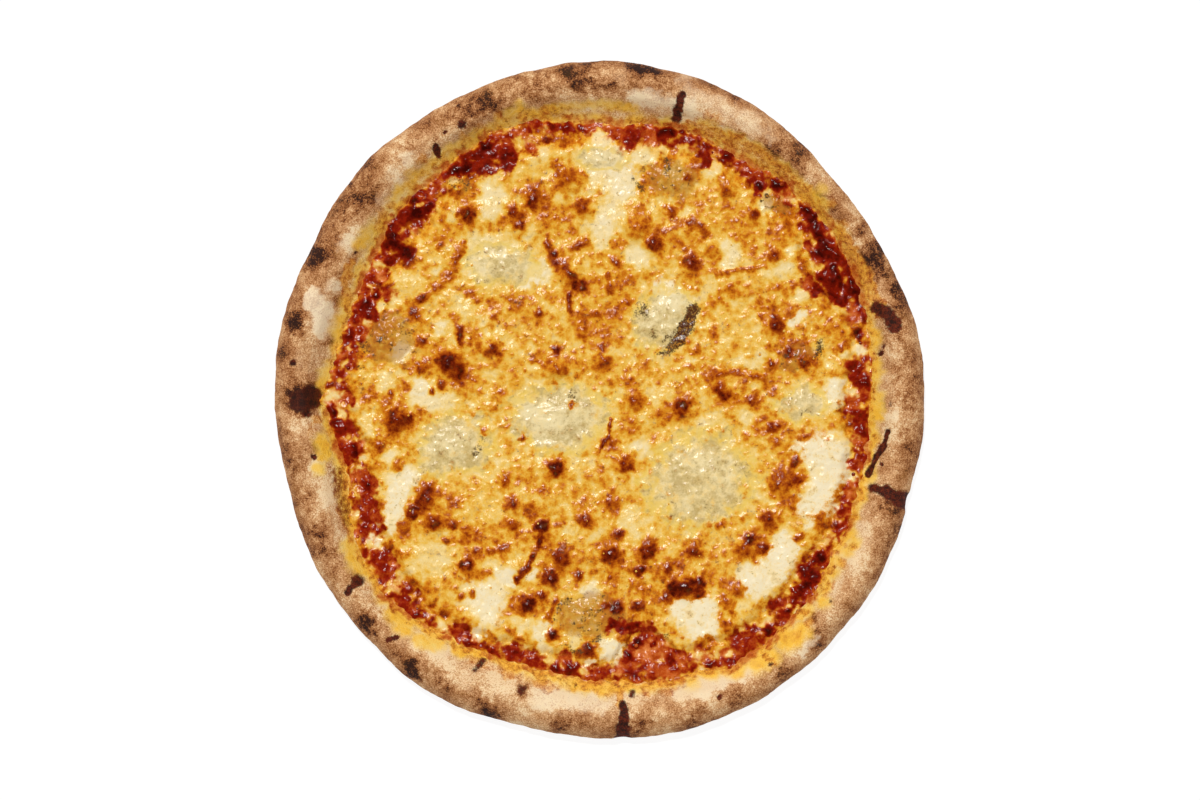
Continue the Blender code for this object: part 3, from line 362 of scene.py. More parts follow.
OILY = (
    (500, 126, 555, 109, 600, 105, 634, 110, 3.0, .8), (700, 122, 742, 140, 784, 168, 826, 208, 2.8, .8),
    (372, 240, 398, 194, 448, 151, 500, 124, 3.2, .8), (323, 440, 326, 455, 4.4, 1.1),
    (321, 468, 4.0, 1.0), (356, 480, 353, 510, 3.0, .9), (350, 545, 355, 560, 372, 572, 4.4, 1.0),
    (379, 585, 3.0, .8), (395, 612, 408, 625, 5.4, 1.0), (420, 638, 440, 643, 4.0, .9),
    (462, 650, 3.6, .9), (515, 663, 3.0, .9), (530, 672, 4.4, .8), (565, 680, 585, 684, 4.4, 1.0),
    (605, 688, 4.6, .9), (630, 682, 3.6, .9), (853, 540, 846, 550, 4.0, .9), (838, 560, 4.0, .9),
    (830, 570, 5.0, .9), (822, 600, 4.4, .9), (800, 628, 785, 640, 6.0, 1.0),
    (770, 655, 755, 662, 5.4, 1.0), (690, 680, 5.0, .8), (876, 395, 877, 415, 4.0, 1.0),
    (873, 432, 3.6, .9), (872, 478, 3.0, .9), (856, 505, 3.6, .9), (878, 372, 3.0, .7),
    (374, 225, 360, 245, 4.0, .8), (401, 192, 4.0, .9), (412, 174, 3.4, .7), (450, 148, 3.4, .8),
    (520, 108, 510, 115, 3.6, .8), (762, 160, 3.6, .8), (820, 190, 4.0, .6), (850, 258, 3.0, .8),
    (362, 265, 358, 275, 3.0, .9), (355, 292, 2.6, .8), (342, 355, 3.4, .9), (325, 372, 3.4, .8),
    (870, 285, 2.6, .6),
)
AMBER = (
    (480, 130, 540, 113, 600, 109, 652, 117, 3.0, .4),
    (690, 124, 732, 140, 776, 167, 816, 208, 842, 240, 3.2, .8), (840, 236, 864, 277, 878, 310, 3.8, 1.0),
    (806, 190, 3.0, .9), (748, 146, 2.4, .9), (856, 262, 2.4, .9), (536, 682, 552, 686, 2.4, .7),
    (596, 686, 612, 690, 2.6, .6), (470, 656, 484, 664, 2.2, .6),
    (560, 684, 650, 684, 700, 668, 745, 646, 786, 618, 822, 582, 2.4, .5), (480, 661, 530, 678, 2.4, .5),
    (462, 150, 440, 162, 408, 188, 3.0, .5), (341, 475, 344, 505, 349, 520, 3.6, .8), (352, 530, 2.4, .6),
    (650, 672, 676, 678, 4.6, 1.0), (648, 688, 4.0, .8), (668, 688, 4.0, .5),
    (350, 265, 346, 285, 350, 310, 2.6, .9), (345, 325, 2.6, .7), (338, 470, 2.6, .7),
    (850, 546, 2.0, .5), (841, 562, 2.8, .8), (830, 582, 2.4, .7), (824, 592, 2.2, .6),
    (505, 668, 512, 672, 3.4, .8), (482, 662, 2.0, .5), (540, 680, 549, 683, 1.8, .8),
    (368, 585, 3.0, .5), (465, 141, 3.0, .7), (500, 118, 2.6, .7), (573, 117, 3.0, .6),
    (619, 690, 620, 702, 1.8, .9), (808, 622, 2.6, .8), (385, 215, 380, 225, 3.0, .7),
    (392, 205, 2.6, .7), (425, 160, 3.0, .6), (545, 112, 3.0, .8), (718, 120, 700, 122, 4.0, .5),
    (745, 150, 3.0, .5), (830, 205, 3.4, .6), (840, 225, 3.4, .6), (766, 158, 3.0, .5),
    (875, 440, 3.0, .6), (872, 390, 2.0, .6), (862, 490, 2.4, .7), (314, 430, 2.6, .5),
    (316, 420, 2.6, .7), (338, 348, 2.2, .7), (765, 655, 772, 662, 1.6, .8), (345, 300, 2.2, .6),
)
SCORCHED_AND_SHADOW_LINES = (
    (312, 397, 5.6, 1.0), (301, 401, 4.8, 1.0), (309, 413, 2.4, .8),
    (337, 470, 342, 500, 349, 520, 3.2, .34), (623, 703, 624, 716, 2.1, .8),
    (624, 716, 624, 726, 2.3, .95), (623, 726, 621, 738, 3.2, 1.0), (872, 487, 884, 490, 2.4, .7),
    (884, 491, 898, 497, 3.0, .95), (896, 497, 907, 501, 3.8, 1.0), (681, 97, 679, 110, 1.9, 1.0),
    (677, 112, 676, 120, 2.0, .8), (874, 307, 884, 313, 3.0, .85), (884, 312, 892, 322, 3.6, .95),
    # The strokes from (887, 429) to (867, 475) are the dark line beside a torn flap on the rim: a sunk
    # crease, darkened further as painted shadow.
    (893, 326, 3.4, 1.0), (887, 429, 883, 445, 1.0, .9), (883, 444, 874, 458, 1.5, 1.0),
    (873, 458, 867, 475, 1.2, .9), (359, 580, 3.4, .85), (356, 584, 348, 591, 1.9, .8),
    (389, 639, 398, 635, 1.2, .8), (484, 658, 476, 668, 1.4, .6), (463, 126, 2.6, .85),
    (438, 146, 439, 156, 1.5, .85), (632, 692, 2.1, .6), (295, 363, 1.7, 1.0), (315, 456, 1.5, .9),
    (446, 133, 1.0, .8), (720, 695, 1.1, .95), (880, 463, .9, 1.0), (357, 254, 1.2, .7),
    (880, 352, 1.6, .7), (883, 346, 1.0, .6), (522, 688, 2.4, .6), (889, 404, 1.2, .5),
    (829, 600, 1.0, .6), (575, 684, .8, .5), (770, 662, 1.4, .6), (408, 554, .6, .4),
)


def linear(red, green, blue):
    """A colour given in the 0 to 255 values of a picture, as Blender's linear red, green and blue."""
    shares = (red / 255, green / 255, blue / 255)
    return tuple(s / 12.92 if s <= 0.04045 else ((s + 0.055) / 1.055) ** 2.4 for s in shares)


def colour(name, description, red, green, blue):
    """A colour property with its default in the 0 to 255 values of a picture."""
    return FloatVectorProperty(
        name=name, description=description, subtype="COLOR", size=3, min=0, max=1,
        default=linear(red, green, blue),
    )


def length(name, description, default):
    """A length property, its default in millimetres."""
    return FloatProperty(
        name=name, description=description, unit="LENGTH", precision=5, default=default * MM
    )


def number(name, description, default):
    """A property for a plain number, a whole one where its default is whole."""
    kind = IntProperty if isinstance(default, int) else FloatProperty
    return kind(name=name, description=description, default=default)


class PizzaDough(bpy.types.PropertyGroup):
    """The crust's finish, from least baked to scorched."""

    pale: colour("Least baked", "Dough that stayed pale", 247, 216, 170)
    flour: colour("Flour", "Flour that stayed on the dough", 252, 238, 210)
    light: colour("Lightly baked", "Lightly baked dough", 225, 175, 123)
    tan: colour("Tan", "Evenly baked dough", 199, 143, 93)
    brown: colour("Brown", "Browned dough", 169, 110, 62)
    dark: colour("Dark brown", "Strongly browned dough", 132, 74, 36)
    char: colour("Char", "Scorched dough", 48, 21, 12)
    cream_oil: colour("Cream with oil", "Pale dough that soaked up oil", 255, 219, 116)
    oil: colour("Oily dough", "Dough yellow with oil, next to the sauce", 255, 198, 62)
    deep_oil: colour("Deep oily dough", "Dough where much oil gathered", 232, 154, 48)
    amber: colour("Amber dough", "Dough stained by sauce and oil", 176, 84, 20)
    scorch: colour("Scorched crease", "The inside of a scorched crease", 108, 38, 15)
    lumps: length("Lumps", "Height of the rim's lumps", 0.45)
    crumb: length("Crumb", "Height of the crust's fine grain", 0.11)


class PizzaSauce(bpy.types.PropertyGroup):
    """The tomato sauce's finish, from cheese that ran into it to scorched sauce."""

    cream: colour("Cheese film", "Cheese that ran into the sauce", 242, 184, 112)
    orange: colour("Browned film", "Browned cheese and sauce", 224, 128, 62)
    rust: colour("Rust", "Sauce and cheese baked together", 190, 80, 22)
    red: colour("Baked sauce", "Baked sauce", 146, 30, 6)
    dark: colour("Dark sauce", "Sauce where it baked dark", 112, 16, 2)
    black: colour("Scorched sauce", "Blisters baked almost black", 64, 7, 2)
    lumps: length("Lumps", "Height of the sauce's lumps", 0.6)
    bubble: length("Bubbles", "Widest bubble on the sauce", 2.2)
    bubbles: number("Bubbles", "Bubbles for each square metre of sauce", 4000)


class PizzaCheese(bpy.types.PropertyGroup):
    """The melted cheese's finish, from unbrowned to scorched."""

    cream: colour("Cream", "Melted cheese that didn't brown", 247, 222, 166)
    pale: colour("Pale", "Cheese that hardly browned", 244, 209, 130)
    golden: colour("Golden", "Golden cheese", 240, 190, 80)
    yellow: colour("Deep golden", "Deep golden cheese", 228, 158, 40)
    amber: colour("Amber", "Cheese browned to amber", 208, 118, 18)
    brown: colour("Brown", "Cheese browned to orange brown", 172, 78, 8)
    dark: colour("Dark brown", "The middle of a browned blister", 128, 38, 4)
    scorched: colour("Scorched", "The darkest spots", 76, 14, 2)
    white: colour("White cheese", "Mozzarella that stayed white", 247, 231, 195)
    ivory: colour("Soft cheese", "Melted slices of soft cheese", 240, 219, 165)
    grey: colour("Greyish cheese", "Soft cheese where it turned greyish", 195, 168, 106)
    butter: colour("Buttery edge", "Yellow oil round the soft cheese", 238, 200, 90)
    mould: colour("Rind", "Rind and blue mould", 84, 62, 36)
    ochre: colour("Blue cheese", "Baked paste of the blue cheese", 182, 120, 44)
    lumps: length("Lumps", "Height of the cheese's lumps", 0.4)
    oil: number("Oil beads", "Beads of oil for each square metre of cheese", 6000)


class PizzaStage(bpy.types.PropertyGroup):
    """The floor, the light and the camera."""

    camera_height: length("Camera height", "Height of the camera above the pizza", 3000.0)
    lens: number("Lens", "Focal length in millimetres", 200.0)
    sun: number("Key light", "Strength of the key light", 2.5)
    sky: number("Fill light", "Strength of the light from all round", 0.4)


# Noise and marks, on arrays of places in millimetres.


def smooth_step(low, high, value):
    """0 below low, 1 above high, with a smooth rise between them."""
    share = np.clip((value - low) / (high - low), 0.0, 1.0)
    return share * share * (3.0 - 2.0 * share)


def lerp(low, high, share):
    """The value this share of the way from low to high."""
    return low + (high - low) * share


def all_round(count):
    """This many bearings at equal steps all round, in radians."""
    return np.arange(count) / count * math.tau


@functools.lru_cache(maxsize=None)
def lattice(seed):
    """Directions on a square lattice, for gradient noise."""
    turns = np.random.default_rng(seed).uniform(0, math.tau, (NOISE_LATTICE, NOISE_LATTICE))
    return np.cos(turns), np.sin(turns)


def grain(x, y, size, seed):
    """Smooth noise between about -1 and 1 whose features are this large."""
    along, across = lattice(seed)
    lean = 0.7 + seed
    u = (x * math.cos(lean) - y * math.sin(lean)) / size + NOISE_SHIFT[0]
    v = (x * math.sin(lean) + y * math.cos(lean)) / size + NOISE_SHIFT[1]
    i, j = np.floor(u).astype(int), np.floor(v).astype(int)
    fu, fv = u - i, v - j
    su = fu * fu * fu * (fu * (fu * 6 - 15) + 10)
    sv = fv * fv * fv * (fv * (fv * 6 - 15) + 10)
    total = np.zeros_like(u)
    for di in (0, 1):
        for dj in (0, 1):
            a, b = (i + di) % NOISE_LATTICE, (j + dj) % NOISE_LATTICE
            share = (su if di else 1 - su) * (sv if dj else 1 - sv)
            total += share * (along[a, b] * (fu - di) + across[a, b] * (fv - dj))
    return total * 1.5


def domes(x, y, size, seed):
    """Round domes of uneven width, this far apart in millimetres: their height, 1 on top of the widest."""
    draw = np.random.default_rng(seed)
    narrowest, widest = 0.25, 0.8
    across, along = draw.uniform(0.1, 0.9, (2, NOISE_LATTICE, NOISE_LATTICE))
    widths = draw.uniform(narrowest, widest, (NOISE_LATTICE, NOISE_LATTICE))
    u = (x + 0.3 * size * grain(x, y, 0.7 * size, seed + 1)) / size + NOISE_SHIFT[0]
    v = (y + 0.3 * size * grain(x, y, 0.7 * size, seed + 2)) / size + NOISE_SHIFT[1]
    i, j = np.floor(u).astype(int), np.floor(v).astype(int)
    height = np.zeros_like(u)
    for di in (-1, 0, 1):
        for dj in (-1, 0, 1):
            a, b = (i + di) % NOISE_LATTICE, (j + dj) % NOISE_LATTICE
            away = np.hypot(u - i - di - across[a, b], v - j - dj - along[a, b]) / widths[a, b]
            height = np.maximum(height, np.maximum(1 - away ** 2, 0) * widths[a, b] / widest)
    return height


def soften(values, reach, axis, wrap):
    """Values blurred along one axis, by a bell curve whose spread is given in samples."""
    span = int(math.ceil(3 * reach))
    steps = range(-span, span + 1)
    weights = [math.exp(-0.5 * (k / reach) ** 2) for k in steps]
    padding = [(0, 0)] * values.ndim
    padding[axis] = (span, span)
    padded = np.pad(values, padding, mode="wrap" if wrap else "edge")
    size = values.shape[axis]
    total = 0.0
    for k, weight in zip(steps, weights):
        window = [slice(None)] * values.ndim
        window[axis] = slice(span + k, span + k + size)
        total = total + weight * padded[tuple(window)]
    return total / sum(weights)


def on_pizza(px, py):
    """The place in millimetres of a pixel of the photo."""
    return (px - PHOTO_MIDDLE[0]) * PIXEL, (PHOTO_MIDDLE[1] - py) * PIXEL


def distance_to(x, y, route):
    """Distance from each place to a route through one or more points."""
    if len(route) == 1:
        return np.hypot(x - route[0][0], y - route[0][1])
    nearest = np.full_like(x, 1e9)
    for (ax, ay), (bx, by) in zip(route, route[1:]):
        dx, dy = bx - ax, by - ay
        share = np.clip(((x - ax) * dx + (y - ay) * dy) / (dx * dx + dy * dy), 0, 1)
        nearest = np.minimum(nearest, np.hypot(x - ax - share * dx, y - ay - share * dy))
    return nearest


def covers(x, y, marks, core, fade, ragged):
    """For each mark: the places near it, how much of them it covers and its value.

    A mark covers everything within core half widths and nothing beyond fade, and ragged says by how many
    millimetres its border strays.
    """
    wx = x + ragged * (grain(x, y, 7.0, 20) + grain(x, y, 3.2, 21) + 0.6 * grain(x, y, 1.6, 22))
    wy = y + ragged * (grain(x, y, 7.0, 19) + grain(x, y, 3.2, 23) + 0.6 * grain(x, y, 1.6, 24))
    for *places, half_width, value in marks:
        route = [on_pizza(px, py) for px, py in zip(places[::2], places[1::2])]
        reach = fade * half_width
        xs, ys = zip(*route)
        near = (wx > min(xs) - reach) & (wx < max(xs) + reach)
        near &= (wy > min(ys) - reach) & (wy < max(ys) + reach)
        away = distance_to(wx[near], wy[near], route) / half_width
        yield near, 1 - smooth_step(core, fade, away), value


def marked(x, y, marks, core, fade, ragged):
    """How strongly a list of marks covers each place."""
    cover = np.zeros_like(x)
    for near, share, value in covers(x, y, marks, core, fade, ragged):
        cover[near] = np.maximum(cover[near], share * value)
    return cover


def painted(level, x, y, marks, core, fade, ragged):
    """Paints the marks' values over a level one by one, and gives the new level and what they cover."""
    level, covered = level.copy(), np.zeros_like(x)
    for near, share, value in covers(x, y, marks, core, fade, ragged):
        level[near] = lerp(level[near], value, share)
        covered[near] = np.maximum(covered[near], share)
    return level, covered


# The solids' own forms, measured on the frame.


@functools.lru_cache(maxsize=None)
def solid(node):
    """The solid of a node, ready to be hit by rays."""
    return BVHTree.FromObject(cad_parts[node], bpy.context.evaluated_depsgraph_get())


def hit(node, x, y, z, direction):
    """Where a ray from a place in millimetres meets a node, in millimetres, or None."""
    place = solid(node).ray_cast(Vector((x * MM, y * MM, z * MM)), Vector(direction))[0]
    return None if place is None else place / MM


def height_above(node, x, y, missing=math.nan):
    """The height of a node's upper side at one place, or another value where the node isn't."""
    place = hit(node, x, y, RAY_HEIGHT, (0, 0, -1))
    return missing if place is None else place.z


@functools.lru_cache(maxsize=None)
def outline(node):
    """The outer radius of a round layer at equal steps round the pizza."""
    corners = np.array([v.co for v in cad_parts[node].data.vertices]) / MM
    section = np.degrees(np.arctan2(corners[:, 1], corners[:, 0])) % 360 * OUTLINE_SECTIONS / 360
    nearest = np.round(section).astype(int)
    radii = np.zeros(OUTLINE_SECTIONS)
    on_section = np.abs(section - nearest) < 0.2
    np.maximum.at(radii, nearest[on_section] % OUTLINE_SECTIONS, np.hypot(*corners[on_section, :2].T))
    return radii


def edge_radius(node, bearing):
    """The outer radius of a round layer at each bearing."""
    return np.interp(bearing % math.tau, all_round(OUTLINE_SECTIONS), outline(node), period=math.tau)


class Level:
    """The upper side of a layer, measured on a square grid and softened so that its facets don't show."""

    def __init__(self, node):
        low, high = (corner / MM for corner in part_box(node))
        self.x = np.arange(low.x - LEVEL_MARGIN, high.x + LEVEL_MARGIN, LEVEL_SPACING)
        self.y = np.arange(low.y - LEVEL_MARGIN, high.y + LEVEL_MARGIN, LEVEL_SPACING)
        z = np.array([[height_above(node, x, y) for y in self.y] for x in self.x])
        self.typical = float(np.nanmedian(z))
        # Places beyond the layer take the mean height of their known neighbours.
        while np.isnan(z).any():
            padded = np.pad(z, 1, constant_values=math.nan)
            around = np.stack([padded[1:-1, :-2], padded[1:-1, 2:], padded[:-2, 1:-1], padded[2:, 1:-1]])
            known = ~np.isnan(around)
            mean = np.where(known, around, 0).sum(0) / np.maximum(known.sum(0), 1)
            z = np.where(np.isnan(z) & known.any(0), mean, z)
        for axis in (0, 1):
            z = soften(z, LEVEL_SOFTNESS, axis, wrap=False)
        self.z = z

    def at(self, x, y):
        """The height at each place."""
        u = np.clip((x - self.x[0]) / LEVEL_SPACING, 0, len(self.x) - LAST_CELL)
        v = np.clip((y - self.y[0]) / LEVEL_SPACING, 0, len(self.y) - LAST_CELL)
        i, j = u.astype(int), v.astype(int)
        fu, fv = u - i, v - j
        z = self.z
        low = lerp(z[i, j], z[i + 1, j], fu)
        high = lerp(z[i, j + 1], z[i + 1, j + 1], fu)
        return lerp(low, high, fv)


class DoughForm:
    """The dough's section at every bearing: a path over the rim, down its wall and in under the base."""

    def __init__(self):
        bearings = all_round(MEASURED_BEARINGS)
        edge = edge_radius("crust", bearings)
        self.top_insets = np.arange(RIM_BAND, 0.9, -RIM_SPACING)
        radii, heights = [], []
        for bearing, outer in zip(bearings, edge):
            cos, sin = math.cos(bearing), math.sin(bearing)
            across = [outer - inset for inset in self.top_insets]
            top = [height_above("crust", cos * r, sin * r, WALL_HEIGHTS[0]) for r in across]
            wall = []
            for z in WALL_HEIGHTS:
                place = hit("crust", cos * RAY_RADIUS, sin * RAY_RADIUS, z, (-cos, -sin, 0))
                wall.append(math.hypot(place.x, place.y))
            foot = [outer - inset for inset in FOOT_INSETS]
            radii.append(across + wall + foot)
            heights.append(top + list(WALL_HEIGHTS) + [0.0] * len(foot))
        self.radii = self.finish(np.array(radii))
        self.heights = self.finish(np.array(heights))
        self.edge = self.radii.max(1)

    def finish(self, values):
        """Spreads the measured sections over all bearings and rounds off their facets."""
        steps = np.arange(BEARINGS) / BEARINGS * MEASURED_BEARINGS
        first = steps.astype(int)
        spread = lerp(values[first], values[(first + 1) % MEASURED_BEARINGS], (steps - first)[:, None])
        spread = soften(spread, 4.0, axis=0, wrap=True)
        shown = len(self.top_insets) + len(WALL_HEIGHTS) + 1
        spread[:, :shown] = soften(spread[:, :shown], 1.1, axis=1, wrap=False)
        return spread

    def height(self, x, y):
        """The height of the dough's upper side at each place, up to the top of its outer wall."""
        turn = (np.arctan2(y, x) / math.tau % 1.0) * BEARINGS
        i = turn.astype(int) % BEARINGS
        share = turn - np.floor(turn)
        after = (i + 1) % BEARINGS
        count = len(self.top_insets)
        outer = lerp(self.radii[i, 0], self.radii[after, 0], share) + self.top_insets[0]
        ring = np.clip((self.top_insets[0] - (outer - np.hypot(x, y))) / RIM_SPACING, 0, count - LAST_CELL)
        k = ring.astype(int)
        low = lerp(self.heights[i, k], self.heights[after, k], share)
        high = lerp(self.heights[i, k + 1], self.heights[after, k + 1], share)
        return lerp(low, high, ring - k)


class SliceForm:
    """The outline and height of one melted slice or crumble, seen from its middle."""

    def __init__(self, node):
        self.node = node
        low, high = (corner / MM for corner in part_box(node))
        self.middle = ((low.x + high.x) / 2, (low.y + high.y) / 2)
        self.bearings = all_round(SLICE_BEARINGS)
        heights = np.linspace(low.z + 0.2, high.z - 0.3, 6)
        radii = [max(self.wall(bearing, z) for z in heights) for bearing in self.bearings]
        self.radii = soften(np.array(radii), 1.0, axis=0, wrap=True)
        self.rise = high.z - form("cheese").typical

    def wall(self, bearing, z):
        """How far the slice reaches at one bearing and height, or 0 where it has ended."""
        x, y = self.middle
        cos, sin = math.cos(bearing), math.sin(bearing)
        start = (x + SLICE_RAY_RADIUS * cos, y + SLICE_RAY_RADIUS * sin, z)
        place = hit(self.node, *start, (-cos, -sin, 0))
        return 0.0 if place is None else (place.x - x) * cos + (place.y - y) * sin

    def edge(self, bearing):
        """How far the slice reaches at each bearing."""
        return np.interp(bearing % math.tau, self.bearings, self.radii, period=math.tau)

    def outwards(self, x, y):
        """How far out each place is: 0 in the middle of the slice, 1 at its edge."""
        dx, dy = x - self.middle[0], y - self.middle[1]
        return np.hypot(dx, dy) / self.edge(np.arctan2(dy, dx))


@functools.lru_cache(maxsize=None)
def form(layer):
    """The measured form of a layer, worked out once."""
    if layer == "dough":
        return DoughForm()
    if layer == "sauce":
        return Level("tomato_sauce")
    if layer == "cheese":
        return Level("melted_cheese")
    return SliceForm(layer)


# How much of its own colour each soft slice kept as it melted, how much wider than its solid that colour
# spreads, and the slices and crumbles by name.
KEPT_COLOUR = {
    "soft_cheese_1": 1.0, "soft_cheese_2": 1.0, "soft_cheese_3": 0.9, "soft_cheese_4": 0.85,
    "soft_cheese_5": 0.85, "soft_cheese_6": 0.75, "soft_cheese_7": 0.75,
}
SPREAD = {"soft_cheese_2": 1.2, "soft_cheese_3": 1.3, "soft_cheese_4": 1.1}
SOFT_SLICES = sorted(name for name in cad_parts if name.startswith("soft_cheese"))
BLUE_CRUMBLES = sorted(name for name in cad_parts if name.startswith("blue_cheese"))


# The layers' fine relief and where each finish lies.


def ragged_edge(node, bearing, roughness, seed):
    """A layer's outer radius with a frayed edge."""
    radius = edge_radius(node, bearing)
    x, y = radius * np.cos(bearing), radius * np.sin(bearing)
    return radius + roughness * (grain(x, y, 6.0, seed) + 0.7 * grain(x, y, 2.6, seed + 1))


def crust_edge(bearing):
    """The dough's outer radius."""
    return edge_radius("crust", bearing)


def sauce_edge(bearing):
    """The radius to which the sauce ran on the dough."""
    return ragged_edge("tomato_sauce", bearing, 1.3, 31)


def cheese_edge(bearing):
    """The radius to which the cheese melted out over the sauce."""
    return ragged_edge("melted_cheese", bearing, 1.6, 33)


def inside_of(edge, x, y):
    """How far inside a layer's edge each place is, below 0 beyond it."""
    return edge(np.arctan2(y, x)) - np.hypot(x, y)


def sauce_height(x, y):
    """The sauce's upper side: lumpy, with blisters, and running out thin on the dough."""
    inside = inside_of(sauce_edge, x, y)
    lumps = bpy.context.scene.pizza_sauce.lumps / MM
    waves = 0.8 * grain(x, y, 5.0, 41) + 0.4 * grain(x, y, 2.6, 42)
    relief = lumps * (waves + 1.1 * domes(x, y, 3.4, 109) - 0.5)
    strongest = [mark for mark in SAUCE_PATCHES if mark[-1] > 0.6]
    relief = relief + 0.9 * marked(x, y, strongest, 0.0, 1.3, 1.0)
    level = form("sauce").at(x, y) + relief * smooth_step(0.0, 3.0, inside)
    film = lerp(-0.35, 0.9, smooth_step(-0.2, 3.2, inside)) + 0.4 * relief * smooth_step(0.0, 2.5, inside)
    on_dough = form("dough").height(x, y) + film
    return lerp(on_dough, np.maximum(level, on_dough), smooth_step(0.5, 3.5, inside))


def blistering(x, y):
    """The small blisters all over the topping, which brown first: their height from 0 to about 1."""
    height = np.maximum(domes(x, y, 6.0, 101), 0.75 * domes(x, y, 3.6, 105))
    return height * (0.75 + 0.5 * grain(x, y, 16.0, 54))


def cheese_height(x, y):
    """The cheese's upper side: melted lumps, browned blisters and a thin frayed edge on the sauce."""
    inside = inside_of(cheese_edge, x, y)
    lumps = bpy.context.scene.pizza_cheese.lumps / MM
    curds = 1.0 - 2.0 * np.abs(grain(x, y, 3.4, 51))
    relief = lumps * (0.8 * grain(x, y, 8.0, 52) + 0.3 * curds + 0.25 * grain(x, y, 2.2, 53))
    relief = relief + 0.4 * blistering(x, y) + 0.7 * marked(x, y, BROWNED_AND_SHADOW, 0.0, 1.25, 0.5)
    level = np.maximum(form("cheese").at(x, y), form("cheese").typical - 0.15) + relief
    return lerp(sauce_height(x, y) - 0.35, level, smooth_step(-0.4, 5.0, inside))


def topping_fields(x, y):
    """How browned, red, white, ivory, mouldy and ochre the topping is at each place."""
    inside, within = inside_of(cheese_edge, x, y), inside_of(sauce_edge, x, y)
    mottle = 0.14 * grain(x, y, 9.0, 61) + 0.14 * grain(x, y, 4.2, 62) + 0.08 * grain(x, y, 2.2, 63)
    mottle = mottle + 0.2 * (blistering(x, y) - 0.3)

    # The sheet, browner near its edge, and the ring of sauce beyond it.
    ring = 1 - smooth_step(-3.0, 3.0, inside + 3.0 * grain(x, y, 5.5, 68) + 1.5 * grain(x, y, 2.6, 69))
    browned = lerp(0.43 + mottle, 0.58 + 1.3 * mottle, 0.7 * (1 - smooth_step(2.0, 12.0, inside)))
    browned = lerp(browned, 0.5 + 1.6 * mottle, ring)
    tomato = ring * (0.62 + 0.6 * grain(x, y, 5.0, 70))

    # Patches of melted cheese, and cheese that stayed white.
    browned, patched = painted(browned, x, y, CHEESE_PATCHES, 0.35, 1.35, 1.5)
    browned = browned + 0.5 * mottle * patched
    tomato = tomato * (1 - 0.8 * patched)
    white = marked(x, y, WHITE, 0.4, 1.5, 2.5)

    # Soft slices and blue crumbles, which run out into the sheet, with their rind and mould.
    ivory, ochre = np.zeros_like(x), np.zeros_like(x)
    blur = 0.2 * grain(x, y, 7.0, 64) + 0.14 * grain(x, y, 2.6, 65)
    for name in SOFT_SLICES:
        outwards = form(name).outwards(x, y) / SPREAD.get(name, 1.0) + blur
        ivory = np.maximum(ivory, KEPT_COLOUR[name] * (1 - smooth_step(0.45, 1.3, outwards)))
        paling = 0.5 * KEPT_COLOUR[name] * (1 - smooth_step(0.9, 1.5, outwards))
        browned = lerp(browned, np.minimum(browned, 0.24 + 1.2 * mottle), paling)
    for name in BLUE_CRUMBLES:
        ochre = np.maximum(ochre, 1 - smooth_step(0.6, 1.2, form(name).outwards(x, y) + blur))
    browned = lerp(browned, 0.14 + mottle, 0.9 * ivory)
    mould = marked(x, y, RIND, 0.45, 1.3, 0.9)
    veins = smooth_step(0.15, 0.5, grain(x, y, 2.4, 66) + 0.5 * grain(x, y, 5.0, 67))
    mould = np.maximum(mould, ochre * 0.5 * veins)

    # Sauce that shows through, with a stained border.
    for near, share, value in covers(x, y, SAUCE_PATCHES, 0.8, 2.2, 1.6):
        browned[near] = lerp(browned[near], 0.5 + 0.12 * value + 1.2 * mottle[near], 0.85 * share)
        tomato[near] = np.maximum(tomato[near], 0.9 * share)
    browned, red = painted(browned, x, y, SAUCE_PATCHES, 0.3, 1.35, 1.2)
    tomato = np.maximum(tomato, red)

    # Browned spots with a golden border, among them a painted shadow line, and frayed fringes of cheese, a
    # few of them painted glints.
    for near, share, value in covers(x, y, BROWNED_AND_SHADOW, 0.7, 2.3, 1.2):
        halo = 0.48 + 0.15 * value + 0.5 * mottle[near]
        browned[near] = np.maximum(browned[near], lerp(browned[near], halo, 0.85 * share))
    browned, spots = painted(browned, x, y, BROWNED_AND_SHADOW, 0.45, 1.3, 0.7)
    browned, fringe_and_glint = painted(browned, x, y, FRINGES_AND_GLINTS, 0.1, 1.6, 1.4)
    tomato = tomato * (1 - 0.6 * fringe_and_glint)

    # The thin browned film in which the sauce ends.
    film = 1 - smooth_step(0.4, 2.6, within + 0.8 * grain(x, y, 3.0, 71))
    tomato = tomato * (1 - 0.5 * film)
    browned = lerp(browned, 0.5, 0.7 * film)
    keep = (1 - spots) * (1 - red)
    return {
        "browned": browned, "tomato": tomato, "white": white * keep, "ivory": ivory * keep, "mould": mould,
        "ochre": ochre * keep,
    }


# Objects and meshes.


def add_object(name, data):
    """Puts a new object that shows this data into the scene."""
    piece = bpy.data.objects.new(name, data)
    bpy.context.scene.collection.objects.link(piece)
    return piece


def outward(mesh):
    """Turns a closed mesh's faces outwards and shades it smooth."""
    shape = bmesh.new()
    shape.from_mesh(mesh)
    bmesh.ops.recalc_face_normals(shape, faces=shape.faces)
    shape.to_mesh(mesh)
    shape.free()
    mesh.shade_smooth()


def make_piece(name, points, faces, finish, **fields):
    """A closed mesh piece from points in millimetres, with a finish and named values at its points."""
    mesh = bpy.data.meshes.new(name)
    mesh.from_pydata((np.asarray(points) * MM).tolist(), [], faces)
    outward(mesh)
    for field, values in fields.items():
        attribute = mesh.attributes.new(field, "FLOAT", "POINT")
        attribute.data.foreach_set("value", np.asarray(values, np.float32))
    mesh.materials.append(finish)
    return add_object(name, mesh)


def swept(radius):
    """Places at these distances from the pizza's middle, with a row for each bearing."""
    bearing = all_round(BEARINGS)
    return radius * np.cos(bearing)[:, None], radius * np.sin(bearing)[:, None]


